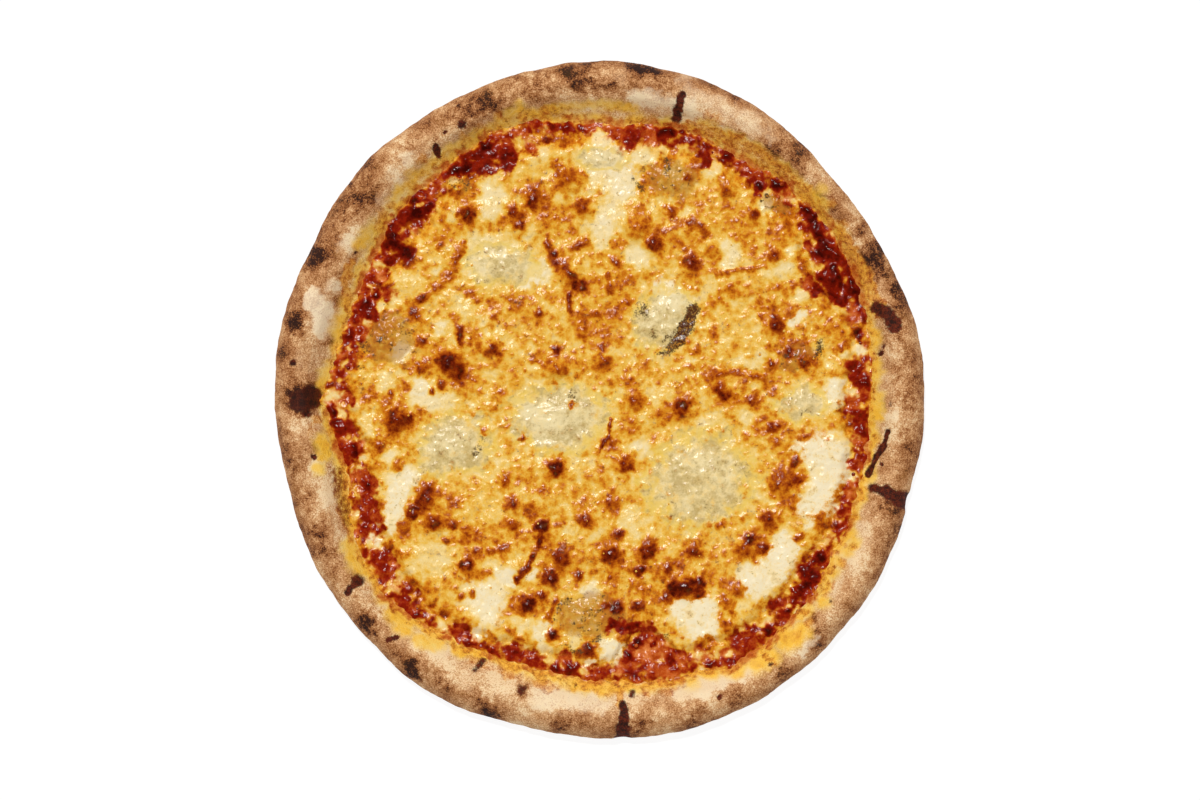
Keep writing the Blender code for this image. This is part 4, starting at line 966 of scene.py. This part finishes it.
def rings_of(surface):
    """A surface's points ring after ring, from a row for each bearing, and the numbers of each ring."""
    bearings, count = surface.shape[:2]
    points = surface.transpose(1, 0, 2).reshape(-1, 3)
    return points, [list(range(k * bearings, (k + 1) * bearings)) for k in range(count)]


def band_faces(*rings):
    """Four cornered faces between each closed ring of points and the next."""
    faces = []
    for low, high in zip(rings, rings[1:]):
        corners = zip(low, low[1:] + low[:1], high[1:] + high[:1], high)
        faces += list(corners)
    return faces


def fan_faces(middle, ring):
    """Three cornered faces from a middle point to a closed ring of points."""
    return [(middle, a, b) for a, b in zip(ring, ring[1:] + ring[:1])]


def disc(steps):
    """Places that fill a disc of radius 1 evenly, as a square grid bent round, with its rim and faces."""
    side = np.linspace(-1, 1, steps + 1)
    a, b = np.meshgrid(side, side, indexing="ij")
    wide = np.abs(a) > np.abs(b)
    radius = np.where(wide, a, b)
    safe_a, safe_b = np.where(a == 0, 1, a), np.where(b == 0, 1, b)
    turn = np.where(wide, math.pi / 4 * b / safe_a, math.pi / 2 - math.pi / 4 * a / safe_b)
    grid = np.arange((steps + 1) ** 2).reshape(steps + 1, steps + 1)
    rim = list(grid[:-1, 0]) + list(grid[-1, :-1]) + list(grid[:0:-1, -1]) + list(grid[0, :0:-1])
    corners = np.stack([grid[:-1, :-1], grid[1:, :-1], grid[1:, 1:], grid[:-1, 1:]], -1).reshape(-1, 4)
    x, y = radius * np.cos(turn), radius * np.sin(turn)
    return x.ravel(), y.ravel(), [int(k) for k in rim], corners.tolist()


def closed_sheet(x, y, z, rim, faces, floor):
    """The points and faces of a sheet closed by a flat underside at the floor's height."""
    points = np.column_stack([x, y, z])
    under = points[rim].copy()
    middle = under.mean(0)
    under = middle + (under - middle) * UNDERSIDE_SHARE
    under[:, 2] = floor
    middle[2] = floor
    count, width = len(points), len(rim)
    ring = list(range(count, count + width))
    everything = np.vstack([points, under, [middle]])
    return everything, faces + band_faces(rim, ring) + fan_faces(count + width, ring)


# Materials.


class Wire:
    """A socket that a material's nodes give, with the arithmetic to combine it."""

    def __init__(self, paint, socket):
        self.paint = paint
        self.socket = socket

    def sum(self, operation, first, second):
        """What one operation of the maths node makes of two values."""
        return self.paint.make("ShaderNodeMath", {"operation": operation}, {0: first, 1: second})

    def __add__(self, other):
        return self.sum("ADD", self, other)

    __radd__ = __add__

    def __sub__(self, other):
        return self.sum("SUBTRACT", self, other)

    def __rsub__(self, other):
        return self.sum("SUBTRACT", other, self)

    def __mul__(self, other):
        return self.sum("MULTIPLY", self, other)

    __rmul__ = __mul__

    def between(self, low, high):
        """0 below low and 1 above high, smooth between them."""
        settings = {"interpolation_type": "SMOOTHSTEP"}
        return self.paint.make("ShaderNodeMapRange", settings, {0: self, 1: low, 2: high, 3: 0.0, 4: 1.0})


class Paint:
    """A material that is built up from nodes."""

    def __init__(self, name):
        self.material = bpy.data.materials.new(name)
        self.material.use_nodes = True
        self.tree = self.material.node_tree
        self.tree.nodes.clear()
        self.place = self.make("ShaderNodeTexCoord", out="Object")

    def make(self, kind, settings=None, sockets=None, out=0):
        """Adds a node: its settings first, then the values or links of its sockets."""
        node = self.tree.nodes.new(kind)
        for name, value in (settings or {}).items():
            if name == "stops":
                self.set_stops(node.color_ramp, value)
            else:
                setattr(node, name, value)
        for name, value in (sockets or {}).items():
            if isinstance(value, Wire):
                self.tree.links.new(value.socket, node.inputs[name])
            elif hasattr(value, "__len__") and len(value) == 3 and node.inputs[name].type == "RGBA":
                node.inputs[name].default_value = (*value, 1)
            else:
                node.inputs[name].default_value = value
        return Wire(self, node.outputs[out])

    def set_stops(self, ramp, stops):
        """Gives a new colour ramp, which has two stops, all of these."""
        for place, _ in stops[2:]:
            ramp.elements.new(place)
        for element, (place, shade) in zip(ramp.elements, stops):
            element.position = place
            element.color = (*shade, 1)

    def field(self, name):
        """A value that the mesh carries at its points."""
        return self.make("ShaderNodeAttribute", {"attribute_name": name}, out="Fac")

    def noise(self, size, detail=2.0, swirl=0.0):
        """Noise about 0, mostly within a fifth either way, with features of this size in millimetres."""
        sockets = {"Vector": self.place, "Scale": 1 / (size * MM), "Detail": detail, "Distortion": swirl}
        return self.make("ShaderNodeTexNoise", None, sockets, "Fac") - 0.5

    def pushed(self, size, reach):
        """The place on the piece, pushed about by noise so that no pattern on it looks regular."""
        sockets = {"Vector": self.place, "Scale": 1 / (size * MM)}
        push = self.make("ShaderNodeTexNoise", None, sockets, "Color")
        push = self.make("ShaderNodeVectorMath", {"operation": "SUBTRACT"}, {0: push, 1: (0.5, 0.5, 0.5)})
        sockets = {0: push, 1: (reach * MM,) * 3, 2: self.place}
        return self.make("ShaderNodeVectorMath", {"operation": "MULTIPLY_ADD"}, sockets)

    def domes(self, size):
        """Heights about 0 that rise to the middle of each of many uneven domes, this wide in millimetres."""
        settings = {"feature": "SMOOTH_F1", "voronoi_dimensions": "2D"}
        place = self.pushed(1.4 * size, 1.6 * size)
        sockets = {"Vector": place, "Scale": 1 / (size * MM), "Smoothness": 0.3}
        return 0.36 - self.make("ShaderNodeTexVoronoi", settings, sockets, "Distance")

    def mix(self, share, low, high):
        """A colour between two others."""
        return self.make("ShaderNodeMix", {"data_type": "RGBA"}, {0: share, 6: low, 7: high}, 2)

    def ramp(self, level, *shades, places=None):
        """A colour that runs through these shades as the level goes from 0 to 1, evenly or by places."""
        stops = list(zip(places or np.linspace(0, 1, len(shades)), shades))
        return self.make("ShaderNodeValToRGB", {"stops": stops}, {0: level})

    def bump(self, height, depth):
        """A surface normal roughened by a height from 0 to 1, this many millimetres deep."""
        sockets = {"Height": height, "Distance": depth * MM, "Strength": 1.0}
        return self.make("ShaderNodeBump", None, sockets)

    def finish(self, **sockets):
        """Ends the material in a Principled BSDF. Names of its sockets are given with _ for a space."""
        named = {name.replace("_", " "): value for name, value in sockets.items()}
        shader = self.make("ShaderNodeBsdfPrincipled", None, named)
        output = self.tree.nodes.new("ShaderNodeOutputMaterial")
        self.tree.links.new(shader.socket, output.inputs["Surface"])
        return self.material


def dough_finish():
    """Baked dough: speckled brown, floury where pale, charred in spots, yellow with oil by the sauce, and
    painted paler on a slope in shade.
    """
    look = bpy.context.scene.pizza_dough
    paint = Paint("baked_dough")
    fine, coarse, broad = paint.noise(0.6), paint.noise(2.4, 3.0, 0.2), paint.noise(9.0, 3.0, 0.5)
    char, flour, oil, stain = (paint.field(name) for name in ("char", "flour", "oil", "stain"))
    amber, bake, scorch = (paint.field(name) for name in ("amber", "bake", "scorch"))
    char = (char + 0.7 * coarse + 0.6 * broad).between(0.05, 1.1)
    level = bake + 1.3 * fine + 0.6 * coarse + 0.6 * broad + 0.58 * char
    level = level - (flour + 0.9 * coarse + broad).between(0.1, 1.0) * 0.38
    shade = paint.ramp(level, look.pale, look.light, look.tan, look.brown, look.dark, look.char)
    shade = paint.mix((flour + 0.5 * coarse + 0.4 * broad).between(0.25, 1.2) * 0.5, shade, look.flour)
    wet = (oil + 0.2 * coarse + 0.4 * broad).between(0.0, 0.85)
    greasy = paint.ramp(
        0.33 * oil + 0.4 * coarse + 0.8 * broad + 0.2 * fine + 0.5 * char,
        look.cream_oil, look.oil, look.deep_oil, look.amber,
    )
    shade = paint.mix(wet * (1 - 0.6 * char) * 0.92, shade, greasy)
    stained = paint.ramp(0.4 + 1.5 * coarse + 0.6 * fine, look.oil, look.deep_oil, look.amber, look.scorch)
    shade = paint.mix((amber + 1.1 * coarse + 0.5 * fine).between(0.15, 0.95) * 0.85, shade, stained)
    sauce = bpy.context.scene.pizza_sauce
    smear = paint.ramp(0.4 + 1.5 * coarse + 0.6 * fine, sauce.orange, sauce.rust, sauce.red)
    shade = paint.mix((stain + 0.9 * coarse).between(0.1, 1.0) * 0.8, shade, smear)
    # Scorched creases take the burnt colours, and so does the painted shadow beside the rim's torn flap.
    burnt = paint.ramp(0.24 + 1.4 * fine + 1.6 * coarse, look.char, look.scorch, look.dark)
    shade = paint.mix((scorch + 0.6 * coarse + 0.4 * fine).between(0.08, 0.62), shade, burnt)
    shade = paint.mix(char.between(0.7, 1.2) * 0.85, shade, look.char)
    return paint.finish(
        Base_Color=shade, Roughness=0.8 - 0.5 * wet, Specular_IOR_Level=0.2,
        Normal=paint.bump(fine + 1.0 * coarse, 0.35),
    )


def topping_finish(name):
    """The topping from cream to scorched cheese and from bright to dark sauce, oily all over."""
    look, tomato_look = bpy.context.scene.pizza_cheese, bpy.context.scene.pizza_sauce
    paint = Paint(name)
    fine, coarse, broad = paint.noise(0.8), paint.noise(3.2, 1.0, 0.4), paint.noise(8.0, 3.0, 0.5)
    domes = paint.domes(3.0)
    browned, tomato, white = (paint.field(name) for name in ("browned", "tomato", "white"))
    ivory, mould, ochre = (paint.field(name) for name in ("ivory", "mould", "ochre"))
    bubbly = 0.3 + 0.7 * browned.between(0.15, 0.45)
    level = browned + bubbly * (0.28 * domes + 0.3 * coarse) + 0.28 * fine + 0.22 * broad
    shade = paint.ramp(
        level, look.cream, look.pale, look.golden, look.yellow, look.amber, look.brown, look.dark,
        look.scorched, places=(0.04, 0.18, 0.32, 0.46, 0.58, 0.7, 0.84, 0.98),
    )
    keep = 1 - level.between(0.3, 0.55)
    pure = paint.mix((coarse + 0.5 * broad + 0.5 * fine).between(-0.02, 0.16), look.white, look.cream)
    shade = paint.mix((white + 1.9 * coarse + 1.4 * fine).between(0.2, 0.9) * keep * 0.9, shade, pure)
    butter = ivory.between(0.05, 0.4) * (1 - ivory.between(0.4, 0.9))
    shade = paint.mix((butter + coarse).between(0.1, 0.9) * keep * 0.7, shade, look.butter)
    greyish = (0.8 * coarse + 0.5 * fine + broad - 0.2 * white).between(-0.3, 0.3)
    soft = paint.mix(greyish, look.ivory, look.grey)
    shade = paint.mix((ivory + 1.4 * coarse + 0.8 * broad).between(0.2, 0.9) * keep * 0.85, shade, soft)
    shade = paint.mix((ochre + 1.5 * coarse).between(0.1, 0.9) * 0.6, shade, look.ochre)
    crescent = paint.ramp(0.32 + 4.0 * fine + 2.4 * coarse, look.scorched, look.mould, look.ochre)
    rind = paint.mix(mould.between(0.75, 1.05), look.mould, crescent)
    shade = paint.mix((mould + 1.2 * coarse + 1.8 * fine).between(0.25, 0.95) * 0.97, shade, rind)
    red = paint.ramp(
        level, tomato_look.cream, tomato_look.orange, tomato_look.rust, tomato_look.red, tomato_look.dark,
        tomato_look.black,
    )
    shade = paint.mix((tomato + 0.9 * coarse + 0.3 * domes).between(0.15, 0.8), shade, red)
    calm = 1 - (white + ivory).between(0.0, 1.0) * 0.4
    return paint.finish(
        Base_Color=shade, Roughness=0.23 + 0.2 * broad, Specular_IOR_Level=0.15,
        Normal=paint.bump((0.6 * domes + 0.7 * coarse + 0.16 * fine) * calm, 0.36),
    )


def glossy_finish(name, shade_low, shade_high):
    """Small glossy beads whose colour changes from one to the next."""
    paint = Paint(name)
    shade = paint.mix(paint.noise(5.0).between(-0.12, 0.12), shade_low, shade_high)
    return paint.finish(
        Base_Color=shade, Roughness=0.22 + 0.3 * paint.noise(2.0), Specular_IOR_Level=0.5,
        Normal=paint.bump(paint.noise(0.6), 0.2),
    )


# Beads scattered over a layer by Geometry Nodes.


def bead_tree(name):
    """A node tree that sets flattened beads of uneven size over a surface where a value of it allows."""
    tree = bpy.data.node_groups.new(name, "GeometryNodeTree")
    inputs = {}
    wanted = (
        ("Geometry", "NodeSocketGeometry"), ("Density", "NodeSocketFloat"), ("Smallest", "NodeSocketFloat"),
        ("Largest", "NodeSocketFloat"), ("Seed", "NodeSocketInt"), ("Where", "NodeSocketFloat"),
        ("Finish", "NodeSocketMaterial"),
    )
    for label, kind in wanted:
        inputs[label] = tree.interface.new_socket(label, in_out="INPUT", socket_type=kind)
    tree.interface.new_socket("Geometry", in_out="OUTPUT", socket_type="NodeSocketGeometry")
    nodes, link = tree.nodes, tree.links.new
    given, result = nodes.new("NodeGroupInput"), nodes.new("NodeGroupOutput")
    density = nodes.new("ShaderNodeMath")
    density.operation = "MULTIPLY"
    link(given.outputs["Density"], density.inputs[0])
    link(given.outputs["Where"], density.inputs[1])
    points = nodes.new("GeometryNodeDistributePointsOnFaces")
    link(given.outputs["Geometry"], points.inputs["Mesh"])
    link(density.outputs[0], points.inputs["Density"])
    link(given.outputs["Seed"], points.inputs["Seed"])
    bead = nodes.new("GeometryNodeMeshIcoSphere")
    bead.inputs["Radius"].default_value = 0.5
    bead.inputs["Subdivisions"].default_value = 2
    squash = nodes.new("GeometryNodeTransform")
    squash.inputs["Scale"].default_value = (1.0, 1.0, 0.62)
    link(bead.outputs["Mesh"], squash.inputs["Geometry"])
    sizes = nodes.new("FunctionNodeRandomValue")
    sizes.data_type = "FLOAT"
    smallest, largest = [s for s in sizes.inputs if s.name in ("Min", "Max") and s.type == "VALUE"][:2]
    link(given.outputs["Smallest"], smallest)
    link(given.outputs["Largest"], largest)
    copies = nodes.new("GeometryNodeInstanceOnPoints")
    link(points.outputs["Points"], copies.inputs["Points"])
    link(points.outputs["Rotation"], copies.inputs["Rotation"])
    link(squash.outputs["Geometry"], copies.inputs["Instance"])
    link([s for s in sizes.outputs if s.type == "VALUE"][0], copies.inputs["Scale"])
    real, smooth = nodes.new("GeometryNodeRealizeInstances"), nodes.new("GeometryNodeSetShadeSmooth")
    finish = nodes.new("GeometryNodeSetMaterial")
    link(copies.outputs["Instances"], real.inputs["Geometry"])
    link(real.outputs["Geometry"], smooth.inputs["Geometry"])
    link(smooth.outputs["Geometry"], finish.inputs["Geometry"])
    link(given.outputs["Finish"], finish.inputs["Material"])
    link(finish.outputs["Geometry"], result.inputs["Geometry"])
    return tree, {label: socket.identifier for label, socket in inputs.items()}


def scatter_beads(name, carrier, where, density, sizes, seed, finish):
    """Sets beads over a piece where its named value allows, and returns them as one plain mesh piece."""
    host = add_object(name + "_host", carrier.data)
    tree, keys = bead_tree(name + "_scatter")
    modifier = host.modifiers.new("Beads", "NODES")
    modifier.node_group = tree
    modifier[keys["Density"]] = float(density)
    modifier[keys["Smallest"]], modifier[keys["Largest"]] = sizes[0] * MM, sizes[1] * MM
    modifier[keys["Seed"]] = seed
    modifier[keys["Where"] + "_use_attribute"] = True
    modifier[keys["Where"] + "_attribute_name"] = where
    modifier[keys["Finish"]] = finish
    ready = host.evaluated_get(bpy.context.evaluated_depsgraph_get())
    mesh = bpy.data.meshes.new_from_object(ready)
    mesh.name = name
    host.modifiers.remove(modifier)
    bpy.data.objects.remove(host)
    return add_object(name, mesh)


# One operator for each layer.


class PIZZA_OT_dough(bpy.types.Operator):
    """Makes the crust: base, puffed rim, creases, char and flour."""

    bl_idname = "pizza.dough"
    bl_label = "Crust"

    def execute(self, context):
        dough = form("dough")
        x, y = swept(dough.radii)
        scorch = marked(x.ravel(), y.ravel(), SCORCHED_AND_SHADOW_LINES, 0.35, 1.4, 0.6).reshape(x.shape)
        skin = self.roughened(context.scene.pizza_dough, dough, x, y, scorch)

        # A ring that the sauce hides and a middle point close the dough on top, and another point below.
        level = dough.heights[:, 0].mean()
        hidden = swept(np.full((BEARINGS, 1), HIDDEN_RADIUS))
        hidden = np.stack([*hidden, np.full((BEARINGS, 1), level)], -1)
        points, rings = rings_of(np.concatenate([hidden, skin], 1))
        top, bottom = len(points), len(points) + 1
        points = np.vstack([points, [(0, 0, level)], [(0, 0, 0)]])
        faces = band_faces(*rings) + fan_faces(top, rings[0]) + fan_faces(bottom, rings[-1])
        fields = self.fields(points, scorch)
        piece = make_piece("crust_dough", points, faces, dough_finish(), **fields)
        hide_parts("crust")
        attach(piece, "root")
        return {"FINISHED"}

    def roughened(self, look, dough, x, y, scorch):
        """The dough's skin with the rim's lumps and crumb raised and its scorched creases sunk."""
        z = dough.heights
        surface = np.stack([x, y, z], -1)
        along = np.roll(surface, -1, 0) - np.roll(surface, 1, 0)
        across = np.gradient(surface, axis=1)
        normal = np.cross(across, along)
        normal /= np.linalg.norm(normal, axis=-1, keepdims=True) + 1e-9
        # Noise that shifts with the height doesn't smear down the wall.
        u, v = x + 1.1 * z, y - 0.8 * z
        lumps = grain(u, v, 15.0, 11) + 0.5 * grain(u, v, 6.5, 12)
        crumb = grain(u, v, 3.0, 13) + 0.8 * grain(u, v, 1.9, 14)
        relief = look.lumps / MM * lumps + look.crumb / MM * crumb - 0.8 * scorch
        inset = dough.edge[:, None] - dough.radii
        rising = smooth_step(0.0, 3.0, z) * smooth_step(RIM_BAND, RIM_BAND - 6, inset)
        outwards = np.sign(normal[:, SLOPE_RING:SLOPE_RING + 1, 2:3])
        surface += normal * (relief * rising)[..., None] * outwards
        surface[..., 2] = np.maximum(surface[..., 2], 0.0)
        return surface

    def fields(self, points, scorch):
        """How charred, floury, oily, amber, stained, scorched and baked the dough is at each point, painted
        light included.
        """
        x, y, z = points.T
        bearing = np.arctan2(y, x)
        south, north = smooth_step(-0.2, 0.7, -np.sin(bearing)), smooth_step(0.1, 0.8, np.sin(bearing))
        beyond, inset = -inside_of(sauce_edge, x, y), inside_of(crust_edge, x, y)
        bare = smooth_step(-3.0, 0.0, beyond)
        under, outer = 1 - smooth_step(0.5, 5.0, z), 1 - smooth_step(1.0, 11.0, inset)

        # Spots on top are charred where they are marked, and the underside in a loose pattern.
        char = marked(x, y, CHAR, 0.1, 1.8, 1.3)
        char = np.maximum(char * (1 - under), under * 0.55 * smooth_step(0.2, 0.8, grain(x, y, 11.0, 18)))

        # Oil, and sauce that ran or splashed over its edge.
        band = (1 - smooth_step(0.0, 6.0, beyond + 2.5 * grain(x, y, 11.0, 17))) * bare
        oil = np.maximum(marked(x, y, OILY, 0.0, 1.5, 1.0), band) * (0.85 + 0.15 * south)
        film = 1 - smooth_step(-0.5, 2.2 + 4.5 * north + 1.4 * south, beyond + 2.2 * grain(x, y, 5.0, 26))
        film = (0.62 + 0.2 * south) * film * bare * (1 + 1.1 * grain(x, y, 4.0, 27))
        amber = np.maximum(marked(x, y, AMBER, 0.5, 1.4, 1.2), film)
        stain = marked(x, y, [(*mark[:-1], 1.0) for mark in SAUCE_PATCHES], 0.3, 1.8, 1.5)
        stain = stain * (1 - smooth_step(0.5, 4.0, beyond))

        # The skin's points follow those of the hidden ring.
        scorched = np.zeros(len(points))
        scorched[BEARINGS:BEARINGS + scorch.size] = scorch.T.ravel()

        patches = grain(x, y, 17.0, 15) + 0.6 * grain(x, y, 8.0, 16) + 0.4 * grain(x, y, 4.0, 25)
        # The inner slope on the +Y side faces away from the key light and is painted paler here: painted
        # light standing in for the light that misses it. The -Y side is paler as well.
        bake = 0.39 - 0.09 * south - (0.1 * north + 0.1 * south) * smooth_step(10, 17, inset)
        bake = bake + 0.14 * outer + 0.3 * patches + 0.12 * under
        flour = marked(x, y, FLOUR, 0.3, 1.6, 2.0)
        above = {"flour": flour, "oil": oil, "amber": amber, "stain": stain, "scorch": scorched}
        above = {name: value * (1 - under) for name, value in above.items()}
        return {"char": char, **above, "bake": np.clip(bake, 0, 1.3)}


class PIZZA_OT_sauce(bpy.types.Operator):
    """Makes the tomato sauce that shows as a ring inside the rim."""

    bl_idname = "pizza.sauce"
    bl_label = "Tomato sauce"

    def execute(self, context):
        outer = sauce_edge(all_round(BEARINGS))[:, None]
        x, y = swept(SAUCE_INNER + (outer - SAUCE_INNER) * np.linspace(0, 1, SAUCE_RINGS))
        z = sauce_height(x.ravel(), y.ravel()).reshape(x.shape)

        # Two rings below, near the outer edge and at the inner one, close the sauce.
        x, y = (np.hstack([part, part[:, [-2, 0]]]) for part in (x, y))
        z = np.hstack([z, np.full((BEARINGS, 2), SAUCE_UNDERSIDE)])
        points, rings = rings_of(np.stack([x, y, z], -1))
        faces = band_faces(*rings, rings[0])

        x, y = points[:, 0], points[:, 1]
        outside, within = -inside_of(cheese_edge, x, y), inside_of(sauce_edge, x, y)
        bubbly = smooth_step(-1.0, 2.0, outside) * smooth_step(0.8, 2.5, within)
        bubbly = bubbly * smooth_step(-0.3, 0.4, grain(x, y, 8.0, 50))
        fields = topping_fields(x, y)
        piece = make_piece("sauce", points, faces, topping_finish("tomato_sauce"), bubbly=bubbly, **fields)
        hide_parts("tomato_sauce")
        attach(piece, "root")
        return {"FINISHED"}


class PIZZA_OT_cheese(bpy.types.Operator):
    """Makes the sheet of melted cheese with its browned blisters."""

    bl_idname = "pizza.cheese"
    bl_label = "Melted cheese"

    def execute(self, context):
        u, v, rim, faces = disc(CHEESE_GRID)
        reach = cheese_edge(np.arctan2(v, u))
        x, y = u * reach, v * reach
        points, faces = closed_sheet(x, y, cheese_height(x, y), rim, faces, CHEESE_UNDERSIDE)
        fields = topping_fields(points[:, 0], points[:, 1])

        # Beads of oil gather on top, away from the edge and from the pale cheese.
        inside = reach - np.hypot(x, y)
        oily = np.zeros(len(points))
        bare = 1 - np.maximum(fields["white"], fields["ivory"])[:len(x)]
        oily[:len(x)] = bare * smooth_step(2.0, 6.0, inside) * smooth_step(-0.2, 0.5, grain(x, y, 14.0, 71))
        piece = make_piece("cheese", points, faces, topping_finish("melted_cheese"), oily=oily, **fields)
        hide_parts("melted_cheese")
        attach(piece, "root")
        return {"FINISHED"}


class PIZZA_OT_slices(bpy.types.Operator):
    """Makes the soft cheese slices and the blue cheese crumbles that melted into the sheet."""

    bl_idname = "pizza.slices"
    bl_label = "Soft and blue cheese"

    def execute(self, context):
        kinds = ((SOFT_SLICES, "soft_cheese", 0.5), (BLUE_CRUMBLES, "blue_cheese", 1.0))
        for names, slot, roughness in kinds:
            finish = topping_finish(slot)
            for name in names:
                points, faces = self.melted(form(name), roughness)
                fields = topping_fields(points[:, 0], points[:, 1])
                piece = make_piece(name + "_melted", points, faces, finish, **fields)
                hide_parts(name)
                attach(piece, "root")
        return {"FINISHED"}

    def melted(self, shape, roughness):
        """The points and faces of one slice: a low dome whose edge sinks into the sheet of cheese."""
        u, v, rim, faces = disc(SLICE_GRID)
        reach = shape.edge(np.arctan2(v, u))
        x, y = shape.middle[0] + u * reach, shape.middle[1] + v * reach
        reach = reach + 0.9 * grain(x, y, 5.0, 81) + 0.5 * grain(x, y, 2.2, 82)
        x, y = shape.middle[0] + u * reach, shape.middle[1] + v * reach
        dome = 1 - smooth_step(0.2, 1.0, np.hypot(u, v))
        relief = roughness * (0.35 * grain(x, y, 3.6, 83) + 0.25 * grain(x, y, 1.9, 84))
        sink, depth = 0.3, 1.0
        z = cheese_height(x, y) - sink + (sink + shape.rise * 0.5 + relief) * dome
        return closed_sheet(x, y, z, rim, faces, z.min() - depth)


class PIZZA_OT_bubbles(bpy.types.Operator):
    """Sets glossy bubbles on the sauce and beads of oil on the cheese."""

    bl_idname = "pizza.bubbles"
    bl_label = "Bubbles and oil"

    def execute(self, context):
        sauce, cheese = context.scene.pizza_sauce, context.scene.pizza_cheese
        bubble = scatter_beads(
            "sauce_bubbles", bpy.data.objects["sauce"], where="bubbly", density=sauce.bubbles,
            sizes=(1.0, sauce.bubble / MM), seed=5,
            finish=glossy_finish("bubble_skin", sauce.dark, sauce.rust),
        )
        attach(bubble, "root")
        bead = scatter_beads(
            "oil_beads", bpy.data.objects["cheese"], where="oily", density=cheese.oil,
            sizes=(0.5, 1.3), seed=9, finish=glossy_finish("oil", cheese.golden, cheese.yellow),
        )
        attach(bead, "root")
        return {"FINISHED"}


class PIZZA_OT_stage(bpy.types.Operator):
    """Sets the pale floor, the light and the camera above."""

    bl_idname = "pizza.stage"
    bl_label = "Floor, light and camera"

    def execute(self, context):
        look = context.scene.pizza_stage
        self.add_floor()
        self.add_sky(look.sky)
        self.add_sun("key_light", look.sun, 3.0, bearing=108.0, elevation=68.0)
        self.add_camera(look.lens, look.camera_height)
        context.scene.view_settings.view_transform = "Standard"
        return {"FINISHED"}

    def add_floor(self):
        """A wide floor a millimetre below the pizza, lit up so that it shows pale and even."""
        size = 6.0
        mesh = bpy.data.meshes.new("floor")
        corners = [(-size, -size, -MM), (size, -size, -MM), (size, size, -MM), (-size, size, -MM)]
        mesh.from_pydata(corners, [], [(0, 1, 2, 3)])
        paint = Paint("floor")
        mesh.materials.append(paint.finish(
            Base_Color=linear(90, 90, 90), Roughness=0.9,
            Emission_Color=(1.0, 1.0, 1.0), Emission_Strength=0.92,
        ))
        floor = add_object("floor", mesh)

    def add_sky(self, strength):
        """White light from all round, weaker from straight above and not seen in glossy surfaces."""
        world = bpy.data.worlds.new("studio")
        bpy.context.scene.world = world
        world.use_nodes = True
        nodes, link = world.node_tree.nodes, world.node_tree.links.new
        direction, height = nodes.new("ShaderNodeTexCoord"), nodes.new("ShaderNodeSeparateXYZ")
        glow = nodes.new("ShaderNodeMapRange")
        glow.inputs["From Min"].default_value, glow.inputs["From Max"].default_value = 0.5, 1.0
        glow.inputs["To Min"].default_value, glow.inputs["To Max"].default_value = strength, 0.15 * strength
        nodes["Background"].inputs["Color"].default_value = (1.0, 1.0, 1.0, 1.0)
        world.cycles_visibility.glossy = False
        link(direction.outputs["Generated"], height.inputs[0])
        link(height.outputs["Z"], glow.inputs["Value"])
        link(glow.outputs["Result"], nodes["Background"].inputs["Strength"])

    def add_camera(self, lens, height):
        """A camera that looks straight down on the pizza's middle."""
        camera = bpy.data.cameras.new("camera")
        camera.lens, camera.sensor_width, camera.clip_end = lens, 36.0, 20.0
        holder = add_object("camera", camera)
        holder.location = (0.0, 0.0, height)
        bpy.context.scene.camera = holder

    def add_sun(self, name, strength, softness, bearing, elevation):
        """A light from far away, its softness, bearing and height above the horizon in degrees."""
        light = bpy.data.lights.new(name, "SUN")
        light.energy, light.angle = strength, math.radians(softness)
        turn, rise = math.radians(bearing), math.radians(elevation)
        holder = add_object(name, light)
        towards = Vector((math.cos(turn) * math.cos(rise), math.sin(turn) * math.cos(rise), math.sin(rise)))
        holder.rotation_euler = towards.to_track_quat("Z", "Y").to_euler()
        holder.location = towards * 2


OPERATORS = (
    PIZZA_OT_dough, PIZZA_OT_sauce, PIZZA_OT_cheese, PIZZA_OT_slices, PIZZA_OT_bubbles, PIZZA_OT_stage,
)
LOOKS = (
    ("pizza_dough", PizzaDough), ("pizza_sauce", PizzaSauce), ("pizza_cheese", PizzaCheese),
    ("pizza_stage", PizzaStage),
)


class PIZZA_PT_panel(bpy.types.Panel):
    """Lists the pizza's layers in the sidebar."""

    bl_idname = "PIZZA_PT_panel"
    bl_label = "Four cheese pizza"
    bl_space_type = "VIEW_3D"
    bl_region_type = "UI"
    bl_category = "Pizza"

    def draw(self, context):
        for operator in OPERATORS:
            self.layout.operator(operator.bl_idname)
        for name, kind in LOOKS:
            box = self.layout.box()
            box.label(text=kind.__doc__)
            for key in kind.__annotations__:
                box.prop(getattr(context.scene, name), key)


def register():
    for name, kind in LOOKS:
        bpy.utils.register_class(kind)
        setattr(bpy.types.Scene, name, PointerProperty(type=kind))
    for kind in (*OPERATORS, PIZZA_PT_panel):
        bpy.utils.register_class(kind)


def unregister():
    for kind in (PIZZA_PT_panel, *reversed(OPERATORS)):
        bpy.utils.unregister_class(kind)
    for name, kind in LOOKS:
        delattr(bpy.types.Scene, name)
        bpy.utils.unregister_class(kind)


def main():
    """Makes every layer in order."""
    register()
    bpy.ops.pizza.dough()
    bpy.ops.pizza.sauce()
    bpy.ops.pizza.cheese()
    bpy.ops.pizza.slices()
    bpy.ops.pizza.bubbles()
    bpy.ops.pizza.stage()


if __name__ == "__main__":
    main()
